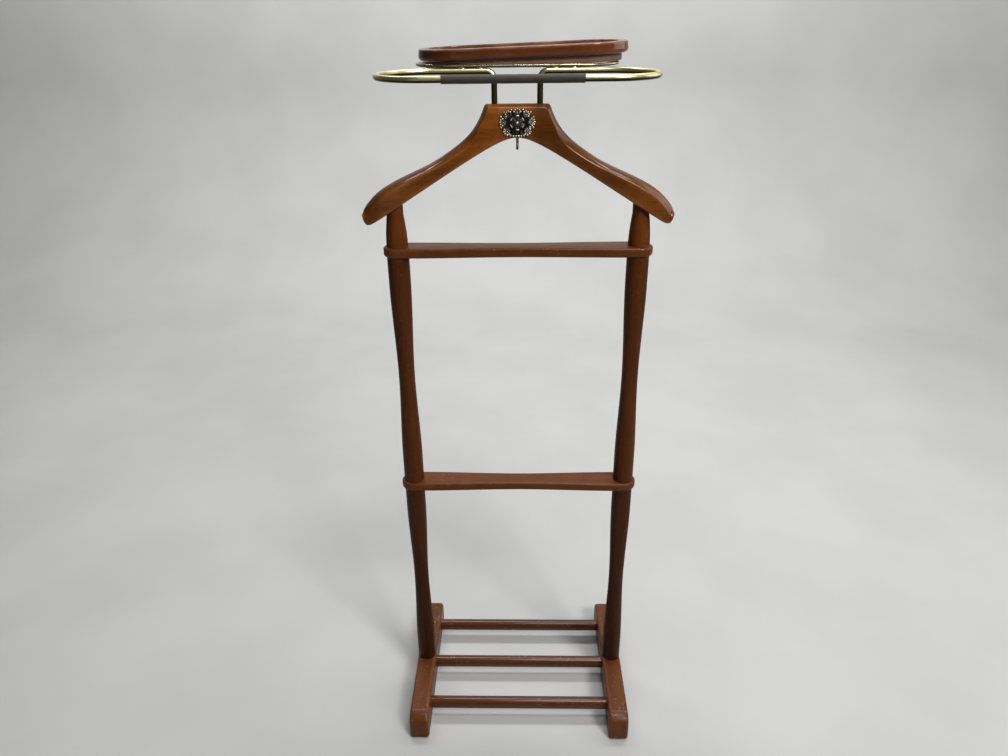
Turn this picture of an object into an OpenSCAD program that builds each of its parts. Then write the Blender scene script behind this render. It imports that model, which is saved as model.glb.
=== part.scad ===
// Clothes valet stand: two turned posts on wooden feet, a shaped suit hanger,
// a bent brass trouser bar and a loose wooden tray in a brass wire ring.
// Millimetres. X runs to the right, Y to the rear, Z up. The origin lies on
// the floor, in the middle between the posts and between the ends of the feet.

/* [Feet] */
// Distance between the axes of the two posts
post_span = 350; // [280:1:420]
// Length of each foot, front to rear
foot_l = 300; // [240:1:360]
// Width of each foot
foot_w = 34; // [32:0.5:50]
// Height of each foot
foot_h = 50; // [46:1:70]
// Radius of the foot's upper corners, seen from the side
foot_nose_r = 23; // [12:1:34]
// Radius along the foot's edges
foot_edge_r = 3; // [1:0.5:5]

/* [Shoe dowels] */
// Diameter of the three dowels between the feet
dowel_d = 21; // [16:0.5:24]
// Height of the dowels' axis above the floor
dowel_z = 30; // [28:0.5:32]
// Distance from one dowel to the next
dowel_pitch = 96; // [60:1:110]
// Depth of each dowel's blind bore in the foot
dowel_seat = 8; // [4:0.5:8]

/* [Posts] */
// Largest diameter of the turned posts
post_d = 32.4; // [28:0.2:34]
// Diameter at the waist of the lower and the middle posts
waist_d = 25.2; // [20:0.2:27]
// Distance from the waist to where a post reaches its full diameter
waist_reach = 152; // [100:1:170]
// Length of the lower posts, from the foot to the lower rail
lower_post_l = 386; // [350:1:450]
// Length of the middle posts, from rail to rail
middle_post_l = 387; // [350:1:450]
// Distance from the upper rail to the hanger's underside, on the post's axis
upper_post_l = 55; // [45:1:90]
// Diameter of the tenon that enters the hanger
top_tenon_d = 24; // [18:0.5:25]
// Depth of that tenon in the hanger, on the post's axis
top_tenon_l = 22; // [12:0.5:24]
// Diameter of the tenon that enters the foot
foot_tenon_d = 16; // [12:0.5:16]
// Depth of that tenon in the foot
foot_tenon_l = 18; // [10:0.5:24]

/* [Rails] */
// Thickness of the two rails
rail_t = 14; // [10:0.5:18]
// Diameter of the rails' round ends
rail_end_d = 41; // [39:0.5:48]
// Depth of the rails in the middle
rail_waist = 32; // [24:0.5:38]
// Radius along the rails' edges
rail_edge_r = 2.2; // [2:0.2:4.8]

/* [Hanger] */
// Width over the tips of the arms
hanger_w = 440; // [400:1:500]
// Width of the flat-topped centre block
block_w = 88; // [76:1:110]
// Height of the block's top over the crown of the arch
block_h = 42.5; // [36:0.5:60]
// Thickness of the block, front to rear
block_t = 30; // [26:0.5:38]
// Thickness of the arms at the shoulders
shoulder_t = 38; // [32:0.5:44]
// Slope of the arms, in degrees below level
arm_slope = 32.6; // [26:0.2:36]
// Half width of the arch's rounded crown
arch_soft = 25; // [15:1:40]
// Upright depth of an arm beside the block
neck_depth = 26.5; // [22:0.5:34]
// Upright depth of an arm at the shoulder
shoulder_depth = 37.5; // [34:0.5:46]
// Length over which the block flares into the arm
flare_l = 13; // [8:0.5:20]
// Thickness of the arms at their tips
tip_t = 27; // [20:0.5:34]
// Height of the tip's outermost point over the line of the underside
tip_lift = 22.5; // [16:0.5:26]
// Radius along the hanger's lower edges
hanger_edge_r = 3; // [1:0.5:5]

/* [Trouser bar] */
// Diameter of the brass rod
bar_d = 8; // [6:0.5:10]
// Distance between the axes of the two uprights
upright_gap = 61; // [50:1:68]
// Height of the rod's axis over the hanger's top
bar_rise = 40.5; // [26:0.5:60]
// Depth of the uprights' blind bores in the hanger
bar_seat = 25; // [12:0.5:32]
// Radius of the bend from upright to rear rod, on the rod's axis
bar_bend_r = 10; // [8:0.5:14]
// Width over the loop's round ends
loop_w = 358; // [320:1:400]
// Distance from the rear rods to the front rod, axis to axis
loop_depth = 125; // [100:1:140]
// Diameter of the soft sleeve on the front rod
sleeve_d = 10.4; // [9.6:0.2:14]
// Length of the sleeve
sleeve_l = 169; // [100:1:200]
// How far the sleeve has crept to the right of the middle
sleeve_shift = -4.5; // [-8:0.5:8]

/* [Tray ring] */
// Diameter of the ring's wire
wire_d = 4.4; // [3:0.2:6]
// Width of the ring, axis to axis
ring_w = 275; // [240:1:300]
// Depth of the ring, axis to axis
ring_depth = 122; // [120:1:142]
// Radius of the ring's corners, on the wire's axis
ring_corner_r = 55; // [45:1:60]

/* [Tray] */
// How the tray lies: propped askew on the ring, or seated level in it
tray_place = "propped"; // [propped, seated]
// How far the propped tray has slid to the right
tray_shift = 8.3; // [7:0.1:9]
// How far the propped tray has slid to the front
tray_creep = 1.8; // [1.4:0.1:2]
// Height of the tray's rim
rim_h = 15; // [11:0.5:30]
// Thickness of the rim's wall
rim_wall = 13; // [11:0.5:20]
// Width of the ledge that the rim forms outside the floor
rim_ledge = 9; // [7:0.5:9.5]
// Thickness of the tray's floor
floor_t = 9.2; // [6:0.2:14]
// Play between the floor and the inside of the ring, at either end
tray_play = 1; // [0.6:0.1:1.6]
// Play between the floor and the inside of the ring, in front and behind
tray_play_y = 2.2; // [2:0.1:2.4]

/* [Fittings] */
// Diameter of the screws that join posts and rails
joint_screw_d = 8; // [6:0.5:10]
// Length of those screws
joint_screw_l = 80; // [60:1:90]
// Shank diameter of the screws under the feet
foot_screw_d = 5; // [4:0.5:6]
// Length of the screws under the feet
foot_screw_l = 60; // [45:1:80]
// Head diameter of the screws under the feet
foot_screw_head_d = 11; // [9:0.5:13]
// Depth of the counterbore that hides the screw's head
foot_screw_recess = 10; // [7:0.5:12]
// Width of the cast rosette on the hanger
rosette_w = 49; // [38:0.5:50]
// Height of the rosette
rosette_h = 38; // [30:0.5:40]
// Diameter of the cup hook's wire
hook_wire_d = 3; // [2:0.1:3.2]
// Inner radius of the cup hook's bowl
hook_bowl_r = 3.2; // [3:0.1:5]

/* [Hidden] */

// Radial clearance of a pin or tenon in its bore
fit = 0.05;
// Free depth at the end of a blind bore
end_gap = 0.5;
// Gap under the loose tray where it rests on the ring
seat_gap = 0.3;

// Levels
lower_rail_z = foot_h + lower_post_l;
middle_post_z = lower_rail_z + rail_t;
upper_rail_z = middle_post_z + middle_post_l;
upper_post_z = upper_rail_z + rail_t;
post_x = post_span / 2;

// Hanger
under_at_post = upper_post_z + upper_post_l;
arch_z = under_at_post + arch_drop(post_x);
hanger_top = arch_z + block_h;
tip_x = hanger_w / 2;
tip_z = underside(tip_x) + tip_lift;
block_x = block_w / 2;
flare_h = hanger_top - underside(block_x) - neck_depth;
// Where an arm starts to deepen and where it is as deep as the shoulder
deepen_from = block_x + 60;
deepen_to = post_x + 15;
// Where the top edge starts to round over towards the tip
tip_round_x = tip_x - 32;
// How squarely the top edge turns down at the tip
tip_power = 2.5;
// The tip's lower end: a quarter oval, its width and its height
tip_nose_w = 7;
tip_nose_h = 15.5;
// Rounding where two stretches of an outline meet
corner_soft = 4;

// Trouser bar
bar_z = hanger_top + bar_rise;
loop_r = loop_depth / 2;
rear_rod_end = loop_w / 2 - bar_d / 2 - loop_r;

// Ring and tray, seen from above
ring_z = bar_z + bar_d / 2 + wire_d / 2 + fit;
wire_top = ring_z + wire_d / 2;
ring_mid_y = ring_depth / 2;
ring_straight_x = ring_w / 2 - ring_corner_r;
ring_straight_y = ring_depth / 2 - ring_corner_r;
floor_w = ring_w - wire_d - 2 * tray_play;
floor_depth = ring_depth - wire_d - 2 * tray_play_y;
floor_corner_r = ring_corner_r - wire_d / 2 - tray_play;
floor_edge_r = 0.8;
// The propped tray leans on the left rear rod with its floor's front lower edge,
// and lies with its floor on the ring's right-hand corners
left_touch = -ring_straight_x + tray_shift;
right_touch = ring_straight_x + 0.4 * ring_corner_r;
floor_front = ring_mid_y - floor_depth / 2 - tray_creep;
rod_reach = bar_d / 2 + floor_edge_r + seat_gap;
left_height = bar_z - floor_edge_r + sqrt(rod_reach * rod_reach - pow(floor_front + floor_edge_r, 2));
tray_tilt = asin((wire_top + seat_gap - left_height) / (right_touch - left_touch));

WOOD = "#7a3a1e";
DARK_WOOD = "#5e2815";
FOOT_WOOD = "#83431f";
BRASS = "#b5a55e";
STEEL = "#8d8f92";
ANTIQUE = "#5f594c";
SLEEVE = "#5a5048";

$fn = 64;

// ---- outline functions ----

function arch_drop(x) = tan(arm_slope) * (sqrt(x * x + arch_soft * arch_soft) - arch_soft);
function underside(x) = arch_z - arch_drop(x);
function soft_min(a, b, k) = (a + b - sqrt((a - b) * (a - b) + k * k)) / 2;
function soft_max(a, b, k) = (a + b + sqrt((a - b) * (a - b) + k * k)) / 2;
function ease(u) = let (v = min(1, max(0, u))) v * v * (3 - 2 * v);

// Upright depth of an arm, the flare beside the block left out
function arm_depth(x) = neck_depth
    + (shoulder_depth - neck_depth) * ease((x - deepen_from) / (deepen_to - deepen_from));
function arm_top(x) = underside(x) + arm_depth(x) + flare_h * exp((block_x - x) / flare_l);
// The top edge before the tip is rounded, and the share of it that the tip keeps
function shoulder_line(x) = x < block_x - 2 * corner_soft ? hanger_top
    : soft_min(hanger_top, arm_top(x), corner_soft);
function tip_share(x) = x <= tip_round_x ? 1
    : sqrt(1 - pow((x - tip_round_x) / (tip_x - tip_round_x), tip_power));
function hanger_upper(x) = tip_z + (shoulder_line(x) - tip_z) * tip_share(x);
function tip_nose(x) = let (u = min(1, max(0, (x - tip_x) / tip_nose_w + 1)))
    tip_z - tip_nose_h * sqrt(1 - u * u);
function hanger_lower(x) = soft_max(underside(x), tip_nose(x), corner_soft / 2);

// Half thickness of the hanger, front to rear
function hanger_half(x) = block_t / 2
    + (shoulder_t - block_t) / 2 * ease((x - block_x) / (post_x - block_x))
    - (shoulder_t - tip_t) / 2 * ease((x - deepen_to) / (tip_x - deepen_to));

// How far the ridges of the front and rear faces lie below the crest: little on
// the block, deep on the steep neck, less half way along the arm, deep at the tip
RIDGE = [
    [block_x, 3.5], [block_x + 6, 11], [block_x + 12, 14], [block_x + 36, 11],
    [block_x + 80, 6.5], [post_x - 20, 7.5], [post_x + 10, 10], [tip_x, 16]
];
// At the block's corners the ridge is the top's outline, moved in and down, so
// that it turns its corner before the crest does
ridge_in = 4.3;
function corner_drop(x) = hanger_upper(x) - hanger_upper(x + ridge_in) + RIDGE[0][1];
function ridge_drop(x) = x > block_x + 30 ? lookup(x, RIDGE)
    : max(lookup(x, RIDGE), corner_drop(x));

// Radius of a turned post at height z, with its waist half way along
function waist_radius(z, length) = let (away = abs(z - length / 2) / waist_reach)
    (waist_d + (post_d - waist_d) * (1 - cos(180 * min(1, away))) / 2) / 2;
// Radius of the upper post, from the rail up to its tenon
function neck_radius(u) = (top_tenon_d + (post_d - 1 - top_tenon_d) * cos(90 * u)) / 2;

// ---- shared shapes ----

// A closed skin over rings of points, all with the same count
module skin(rings) {
    count = len(rings[0]);
    last = len(rings) - 1;
    points = [for (ring = rings, p = ring) p];
    walls = [for (i = [0 : last - 1], j = [0 : count - 1])
        let (k = (j + 1) % count, a = i * count, b = a + count)
        each [[a + j, b + j, b + k], [a + j, b + k, a + k]]];
    first_cap = [for (j = [0 : count - 1]) j];
    last_cap = [for (j = [count - 1 : -1 : 0]) last * count + j];
    polyhedron(points, concat(walls, [first_cap, last_cap]), convexity = 6);
}

// Steps of a rounded edge: how far the outline draws in, and how far up it lies
function edge_steps(t, r, n = 4) = concat(
    [for (i = [0 : n]) [r * (1 - sin(90 * i / n)), -t / 2 + r - r * cos(90 * i / n)]],
    [for (i = [n : -1 : 0]) [r * (1 - sin(90 * i / n)), t / 2 - r + r * cos(90 * i / n)]]
);

// Rounded rectangle as corner arcs, drawn in by d
function arc(c, r, from, n) = [for (i = [0 : n]) let (a = from + 90 * i / n)
    [c[0] + r * cos(a), c[1] + r * sin(a)]];
function round_box(w, h, r_low, r_high, d = 0, n = 8) = concat(
    arc([w / 2 - r_high, h / 2 - r_high], r_high - d, 0, n),
    arc([r_high - w / 2, h / 2 - r_high], r_high - d, 90, n),
    arc([r_low - w / 2, r_low - h / 2], r_low - d, 180, n),
    arc([w / 2 - r_low, r_low - h / 2], r_low - d, 270, n)
);

// Half the depth of a rail, front to rear: least in the middle, full at the posts
function rail_half(x) = rail_waist / 2
    + (rail_end_d - rail_waist) / 2 * ease(abs(x) / (post_x - 10));

// A rail's outline from above, drawn in by d: round ends and hollow long edges. It starts at
// the tip of the right end, from where every other point is in sight across the wood
function rail_outline(d) = let (
        end_r = rail_end_d / 2 - d,
        quarter = [for (i = [0 : 8]) [end_r * cos(11 * i), end_r * sin(11 * i)]],
        half = concat(
            [for (p = quarter) [post_x + p.x, p.y]],
            [for (i = [6 : -1 : -6]) let (x = post_x * i / 7) [x, rail_half(x) - d]],
            [for (i = [8 : -1 : 1]) [-post_x - quarter[i].x, quarter[i].y]]
        )
    ) concat(half, [for (p = half) -p]);

// One quarter of a round bend in the XY plane, centred on the origin
module bend(r, d, angle = 90) {
    rotate_extrude(angle = angle) translate([r, 0]) circle(d = d);
}

// A straight rod along X from one x to another
module rod_x(from, to, d) {
    translate([from, 0, 0]) rotate([0, 90, 0]) cylinder(d = d, h = to - from);
}

// ---- feet and dowels ----

module foot(side) {
    color(FOOT_WOOD) difference() {
        translate([side * post_x, 0, foot_h / 2])
            skin([for (s = edge_steps(foot_w, foot_edge_r))
                [for (p = round_box(foot_l, foot_h, foot_edge_r + 1, foot_nose_r, s[0]))
                    [s[1], p[0], p[1]]]]);
        translate([side * post_x, 0, 0]) {
            translate([0, 0, foot_h - foot_tenon_l - end_gap])
                cylinder(d = foot_tenon_d + 2 * fit, h = foot_tenon_l + 1);
            translate([0, 0, -1]) cylinder(d = foot_screw_d + 2 * fit, h = foot_h);
            translate([0, 0, -1])
                cylinder(d = foot_screw_head_d + 1, h = foot_screw_recess + 1);
        }
        for (y = [-1 : 1])
            translate([side * (post_x - foot_w / 2), y * dowel_pitch, dowel_z])
                rotate([0, 90, 0])
                cylinder(d = dowel_d + 2 * fit, h = 2 * dowel_seat, center = true);
    }
}

module foot_left() {
    foot(-1);
}

module foot_right() {
    foot(1);
}

module dowel(y) {
    reach = post_x - foot_w / 2 + dowel_seat - end_gap;
    color(WOOD) translate([0, y, dowel_z]) rod_x(-reach, reach, dowel_d);
}

module front_dowel() {
    dowel(-dowel_pitch);
}

module middle_dowel() {
    dowel(0);
}

module rear_dowel() {
    dowel(dowel_pitch);
}

// ---- posts ----

// Bore for a joint screw in the end of a post, from height z up or down
module screw_bore(z, way) {
    depth = (joint_screw_l - rail_t) / 2 + end_gap;
    translate([0, 0, way > 0 ? z - 1 : z - depth])
        cylinder(d = joint_screw_d + 2 * fit, h = depth + 1);
}

module waisted_post(length) {
    rotate_extrude() polygon(concat(
        [[0, 0]],
        [for (i = [0 : 28]) [waist_radius(length * i / 28, length), length * i / 28]],
        [[0, length]]
    ));
}

module lower_post(side) {
    color(DARK_WOOD) translate([side * post_x, 0, foot_h]) difference() {
        union() {
            waisted_post(lower_post_l);
            translate([0, 0, -foot_tenon_l]) cylinder(d = foot_tenon_d, h = foot_tenon_l + 1);
        }
        screw_bore(lower_post_l, -1);
        translate([0, 0, -foot_tenon_l - 1])
            cylinder(d = foot_screw_d + 2 * fit,
                h = foot_screw_recess + foot_screw_l - foot_h + foot_tenon_l + end_gap + 1);
    }
}

module lower_post_left() {
    lower_post(-1);
}

module lower_post_right() {
    lower_post(1);
}

module middle_post(side) {
    color(DARK_WOOD) translate([side * post_x, 0, middle_post_z]) difference() {
        waisted_post(middle_post_l);
        screw_bore(0, 1);
        screw_bore(middle_post_l, -1);
    }
}

module middle_post_left() {
    middle_post(-1);
}

module middle_post_right() {
    middle_post(1);
}

module upper_post(side) {
    // The neck ends just below the lowest point where the tenon meets the arm
    neck_l = underside(post_x + top_tenon_d / 2) - 1 - upper_post_z;
    full_l = upper_post_l + top_tenon_l - end_gap;
    color(DARK_WOOD) translate([side * post_x, 0, upper_post_z]) difference() {
        rotate_extrude() polygon(concat(
            [[0, 0]],
            [for (i = [0 : 12]) [neck_radius(i / 12), neck_l * i / 12]],
            [[top_tenon_d / 2, full_l - 1], [top_tenon_d / 2 - 1, full_l], [0, full_l]]
        ));
        screw_bore(0, 1);
    }
}

module upper_post_left() {
    upper_post(-1);
}

module upper_post_right() {
    upper_post(1);
}

// ---- rails ----

module rail(z) {
    color(WOOD) translate([0, 0, z + rail_t / 2]) difference() {
        skin([for (s = edge_steps(rail_t, rail_edge_r))
            [for (p = rail_outline(s[0])) [p[0], p[1], s[1]]]]);
        for (side = [-1, 1])
            translate([side * post_x, 0, 0])
                cylinder(d = joint_screw_d + 2 * fit, h = 2 * rail_t, center = true);
    }
}

module lower_rail() {
    rail(lower_rail_z);
}

module upper_rail() {
    rail(upper_rail_z);
}

// ---- hanger ----

// Distances from the middle where the hanger's section is drawn, to one side
function hanger_stations() = concat(
    [for (i = [1 : 3]) (block_x - 4) * i / 4],
    [for (i = [0 : 26]) block_x - 4 + (tip_x - block_x + 3.6) * (1 - cos(180 * i / 26)) / 2]
);

// The hanger's section at distance x: crowned top, upright faces, soft lower edges
function hanger_section(x, side) = let (
        top = hanger_upper(x),
        low = hanger_lower(x),
        half = hanger_half(x),
        drop = min(ridge_drop(x), 0.6 * (top - low)),
        r = min(hanger_edge_r, 0.3 * (top - low))
    ) concat(
        [for (i = [0 : 8]) let (v = i / 4 - 1) [side * x, half * v, top - drop * v * v]],
        [for (i = [0 : 3]) [side * x, half - r + r * cos(30 * i), low + r - r * sin(30 * i)]],
        [for (i = [3 : -1 : 0]) [side * x, r - half - r * cos(30 * i), low + r - r * sin(30 * i)]]
    );

module hanger() {
    s = hanger_stations();
    color(WOOD) difference() {
        skin(concat(
            [for (i = [len(s) - 1 : -1 : 0]) hanger_section(s[i], -1)],
            [hanger_section(0, 1)],
            [for (x = s) hanger_section(x, 1)]
        ));
        for (side = [-1, 1]) {
            translate([side * post_x, 0, under_at_post - 40])
                cylinder(d = top_tenon_d + 2 * fit, h = 40 + top_tenon_l);
            translate([side * upright_gap / 2, 0, hanger_top - bar_seat])
                cylinder(d = bar_d + 2 * fit, h = bar_seat + 1);
            translate([side * prong_x(), -block_t / 2 - 1, rosette_z()])
                rotate([-90, 0, 0])
                cylinder(d = prong_d() + 2 * fit, h = prong_l() + end_gap + 1);
        }
        translate([0, 0, arch_z - 20]) cylinder(d = hook_collar_d() + 1, h = 20 - hook_spot());
        translate([0, 0, arch_z - 20])
            cylinder(d = hook_wire_d + 2 * fit, h = 20 + hook_screw_l() + end_gap);
    }
}

// ---- screws ----

module screw_pair(z) {
    color(STEEL) for (side = [-1, 1])
        translate([side * post_x, 0, z + (rail_t - joint_screw_l) / 2])
            cylinder(d = joint_screw_d, h = joint_screw_l);
}

module lower_joint_screws() {
    screw_pair(lower_rail_z);
}

module upper_joint_screws() {
    screw_pair(upper_rail_z);
}

module foot_screws() {
    head_h = 3.5;
    color(STEEL) for (side = [-1, 1])
        translate([side * post_x, 0, foot_screw_recess]) {
            translate([0, 0, -head_h]) cylinder(d = foot_screw_head_d, h = head_h);
            cylinder(d = foot_screw_d, h = foot_screw_l);
        }
}

// ---- trouser bar ----

module trouser_bar() {
    color(BRASS) for (side = [0, 1]) mirror([side, 0, 0]) {
        translate([upright_gap / 2, 0, hanger_top - bar_seat + end_gap])
            cylinder(d = bar_d, h = bar_seat + bar_rise - bar_bend_r - end_gap);
        translate([upright_gap / 2 + bar_bend_r, 0, bar_z - bar_bend_r])
            rotate([90, -90, 0]) bend(bar_bend_r, bar_d);
        translate([0, 0, bar_z])
            rod_x(upright_gap / 2 + bar_bend_r, rear_rod_end, bar_d);
        translate([rear_rod_end, -loop_r, bar_z])
            rotate([0, 0, -90]) bend(loop_r, bar_d, 180);
        translate([0, -loop_depth, bar_z]) rod_x(0, rear_rod_end, bar_d);
    }
}

module bar_sleeve() {
    color(SLEEVE) translate([sleeve_shift, -loop_depth, bar_z]) difference() {
        rod_x(-sleeve_l / 2, sleeve_l / 2, sleeve_d);
        rod_x(-sleeve_l / 2 - 1, sleeve_l / 2 + 1, bar_d + 2 * fit);
    }
}

// ---- tray ring ----

module tray_ring() {
    color(BRASS) translate([0, ring_mid_y, ring_z])
        for (turn = [0, 180]) rotate([0, 0, turn]) {
            translate([0, -ring_mid_y, 0]) rod_x(-ring_straight_x, ring_straight_x, wire_d);
            translate([ring_w / 2, -ring_straight_y, 0])
                rotate([-90, 0, 0]) cylinder(d = wire_d, h = 2 * ring_straight_y);
            for (end = [-1, 1])
                translate([end * ring_straight_x, -ring_straight_y, 0])
                    rotate([0, 0, end < 0 ? 180 : -90]) bend(ring_corner_r, wire_d);
        }
}

// Brazing metal in the grooves between the ring's front and the rear rods
module braze_fillets() {
    length = 9;
    groove = 0.6;
    width = 0.4 * wire_d;
    height = 2.8;
    ends = [upright_gap / 2 + bar_bend_r + length, ring_straight_x - length];
    color(BRASS) for (side = [-1, 1], x = ends, way = [0, 1])
        translate([side * x, 0, 0]) mirror([0, way, 0]) difference() {
            translate([-length / 2, groove, bar_z + bar_d / 2 - height / 2])
                cube([length, width, height]);
            translate([0, 0, bar_z]) rod_x(-length, length, bar_d + 2 * fit);
            translate([0, 0, ring_z]) rod_x(-length, length, wire_d + 2 * fit);
        }
}

// ---- rosette and hook ----

function rosette_z() = arch_z + rosette_h / 2 + 1;
function prong_x() = rosette_w / 4;
function prong_d() = 2.4;
function prong_l() = 9;
function hook_collar_d() = 8;
function hook_spot() = 0.5;
function hook_screw_l() = 14;

// A ring of round bosses on an oval, each half sunk in the plate
module bosses(count, rx, ry, r, z) {
    for (i = [0 : count - 1])
        translate([rx * cos(360 * i / count), ry * sin(360 * i / count), z])
            sphere(r = r, $fn = 24);
}

// A generic cast flower: oval plate, beaded edge, two rounds of petals and an eye
module rosette() {
    plate_t = 2;
    bead_r = 2;
    leaf_r = 4.4;
    petal_r = 2.8;
    eye_r = 3;
    rx = rosette_w / 2 - bead_r;
    ry = rosette_h / 2 - bead_r;
    color(ANTIQUE) translate([0, -block_t / 2, rosette_z()]) rotate([90, 0, 0]) {
        difference() {
            union() {
                translate([ry - rx, 0, 0]) cylinder(r = ry, h = plate_t);
                translate([rx - ry, 0, 0]) cylinder(r = ry, h = plate_t);
                translate([ry - rx, -ry, 0]) cube([2 * (rx - ry), 2 * ry, plate_t]);
                bosses(20, rx, ry, bead_r, plate_t / 2);
                bosses(8, rx - leaf_r - bead_r / 2, ry - leaf_r - bead_r / 2, leaf_r, plate_t / 2);
                bosses(6, 2 * petal_r - 0.6, 2 * petal_r - 0.6, petal_r, 3.2);
                translate([0, 0, 4]) sphere(r = eye_r, $fn = 32);
            }
            translate([-rosette_w, -rosette_w, -10]) cube([2 * rosette_w, 2 * rosette_w, 10]);
        }
        for (end = [-1, 1])
            translate([end * prong_x(), 0, -prong_l()]) cylinder(d = prong_d(), h = prong_l() + 1);
    }
}

// Screwed into the crown of the arch, its bowl open to the front
module cup_hook() {
    collar_t = 1.6;
    stem_l = 8.5;
    bowl_r = hook_bowl_r + hook_wire_d / 2;
    seat_z = arch_z - hook_spot();
    bowl_z = seat_z - collar_t - stem_l;
    color(BRASS) {
        translate([0, 0, seat_z - collar_t]) cylinder(d = hook_collar_d(), h = collar_t);
        translate([0, 0, bowl_z])
            cylinder(d = hook_wire_d, h = stem_l + collar_t + hook_spot() + hook_screw_l());
        translate([0, -bowl_r, bowl_z])
            rotate([-90, 0, 90]) bend(bowl_r, hook_wire_d, 200);
    }
}

// ---- tray ----

// Places the tray's parts, drawn about the middle of the rim's underside
module tray_pose() {
    if (tray_place == "propped")
        translate([left_touch, ring_mid_y - tray_creep, left_height])
            rotate([0, -tray_tilt, 0])
            translate([tray_shift - left_touch, 0, floor_t]) children();
    else
        translate([0, ring_mid_y, wire_top + seat_gap]) children();
}

// Outline of the floor, drawn in by d or, below zero, set out
function tray_outline(d) = round_box(floor_w, floor_depth, floor_corner_r, floor_corner_r, d, 9);

// The rim's wall in section: distance in from its outer face, and height. The
// outer face leans in a little to its crisp top edge, and curves in at the foot.
function rim_section() = let (top_r = 1.5, foot_r = 6, lean = 1) concat(
    [for (i = [0 : 3]) [lean + top_r * (1 - cos(30 * i)), rim_h - top_r * (1 - sin(30 * i))]],
    [for (i = [3 : -1 : 0])
        [rim_wall - top_r * (1 - cos(30 * i)), rim_h - top_r * (1 - sin(30 * i))]],
    [[rim_wall, 0]],
    [for (i = [4 : -1 : 0])
        [foot_r * (1 - cos(22.5 * i)), foot_r * (1 - sin(22.5 * i))]]
);

module tray_rim() {
    wall = rim_section();
    outlines = [for (p = wall) tray_outline(p[0] - rim_ledge)];
    count = len(outlines[0]);
    rows = len(wall);
    color(WOOD) tray_pose() polyhedron(
        [for (j = [0 : rows - 1], i = [0 : count - 1])
            [outlines[j][i][0], outlines[j][i][1], wall[j][1]]],
        [for (j = [0 : rows - 1], i = [0 : count - 1])
            let (k = (i + 1) % count, a = j * count, b = ((j + 1) % rows) * count)
            each [[a + i, b + i, b + k], [a + i, b + k, a + k]]],
        convexity = 6
    );
}

module tray_floor() {
    color(DARK_WOOD) tray_pose() translate([0, 0, -floor_t / 2])
        skin([for (s = edge_steps(floor_t, floor_edge_r, 3))
            [for (p = tray_outline(s[0])) [p[0], p[1], s[1]]]]);
}

foot_left();
foot_right();
front_dowel();
middle_dowel();
rear_dowel();
lower_post_left();
lower_post_right();
lower_rail();
middle_post_left();
middle_post_right();
upper_rail();
upper_post_left();
upper_post_right();
hanger();
foot_screws();
lower_joint_screws();
upper_joint_screws();
trouser_bar();
bar_sleeve();
tray_ring();
braze_fillets();
rosette();
cup_hook();
tray_rim();
tray_floor();
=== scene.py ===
# %% [markdown]
# # A clothes valet stand
# The real thing is a wooden stand for a day's clothes: two narrow feet with three
# round shoe bars between them, turned posts with two flat rails, a shaped hanger,
# a bent brass trouser rod, and a small wooden tray that lies loose in a wire ring.
# The solid model of the stand is already made. This lesson keeps its sizes and
# gives every piece the fine edges, the stain, the wear and the tarnish that a
# solid model leaves out. Each step says what the piece is and how it is made.

# %% Open the solid model
import math

import bmesh
import bpy
import numpy as np
from mathutils import Matrix, Vector


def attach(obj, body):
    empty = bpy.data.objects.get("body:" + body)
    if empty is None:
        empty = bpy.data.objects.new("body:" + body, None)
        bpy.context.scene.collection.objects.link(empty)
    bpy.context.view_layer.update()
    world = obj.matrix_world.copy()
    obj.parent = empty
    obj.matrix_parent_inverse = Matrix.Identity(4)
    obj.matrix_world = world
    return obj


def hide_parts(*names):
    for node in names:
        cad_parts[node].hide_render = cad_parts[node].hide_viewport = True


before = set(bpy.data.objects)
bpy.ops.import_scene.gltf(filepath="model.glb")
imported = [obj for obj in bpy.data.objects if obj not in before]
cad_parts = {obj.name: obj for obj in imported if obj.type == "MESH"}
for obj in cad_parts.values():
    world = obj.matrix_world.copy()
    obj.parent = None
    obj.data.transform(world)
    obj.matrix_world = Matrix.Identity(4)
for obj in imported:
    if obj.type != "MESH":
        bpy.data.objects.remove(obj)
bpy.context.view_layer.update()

# %% [markdown]
# ## Sizes
# The stand was drawn in millimetres, and Blender works in metres. So the sizes of
# its pieces are written in millimetres, as on the drawing, and one factor turns
# a finished mesh into metres. The camera, the lights and the studio floor are in
# metres from the start. X runs to the right, Y to the rear and Z up, and the
# origin lies on the floor in the middle of the feet.

# %% Sizes of the stand
MM = 0.001

POST_X = 175.0
FOOT_L, FOOT_W, FOOT_H = 300.0, 34.0, 50.0
DOWEL_D, DOWEL_Z, DOWEL_PITCH = 21.0, 30.0, 96.0
POST_D, WAIST_D, WAIST_REACH = 32.4, 25.2, 152.0
LOWER_POST_L, MIDDLE_POST_L, UPPER_POST_L = 386.0, 387.0, 55.0
RAIL_T, RAIL_END_D, RAIL_WAIST = 14.0, 41.0, 32.0

LOWER_RAIL_Z = FOOT_H + LOWER_POST_L
MIDDLE_POST_Z = LOWER_RAIL_Z + RAIL_T
UPPER_RAIL_Z = MIDDLE_POST_Z + MIDDLE_POST_L
UPPER_POST_Z = UPPER_RAIL_Z + RAIL_T
UNDER_AT_POST = UPPER_POST_Z + UPPER_POST_L
print("rails at", LOWER_RAIL_Z, "and", UPPER_RAIL_Z, "mm, hanger's arms from", UNDER_AT_POST)

# %% [markdown]
# ## The camera
# The picture was taken from just above the hanger, a good metre in front of the
# stand, and looks down at the feet. The lens follows from the picture: its focal
# length is 757 of the picture's 1008 pixels of width. Turning the camera by three
# angles is easy to get wrong, so the three axes of the camera are built as
# vectors and put in a matrix.

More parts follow.
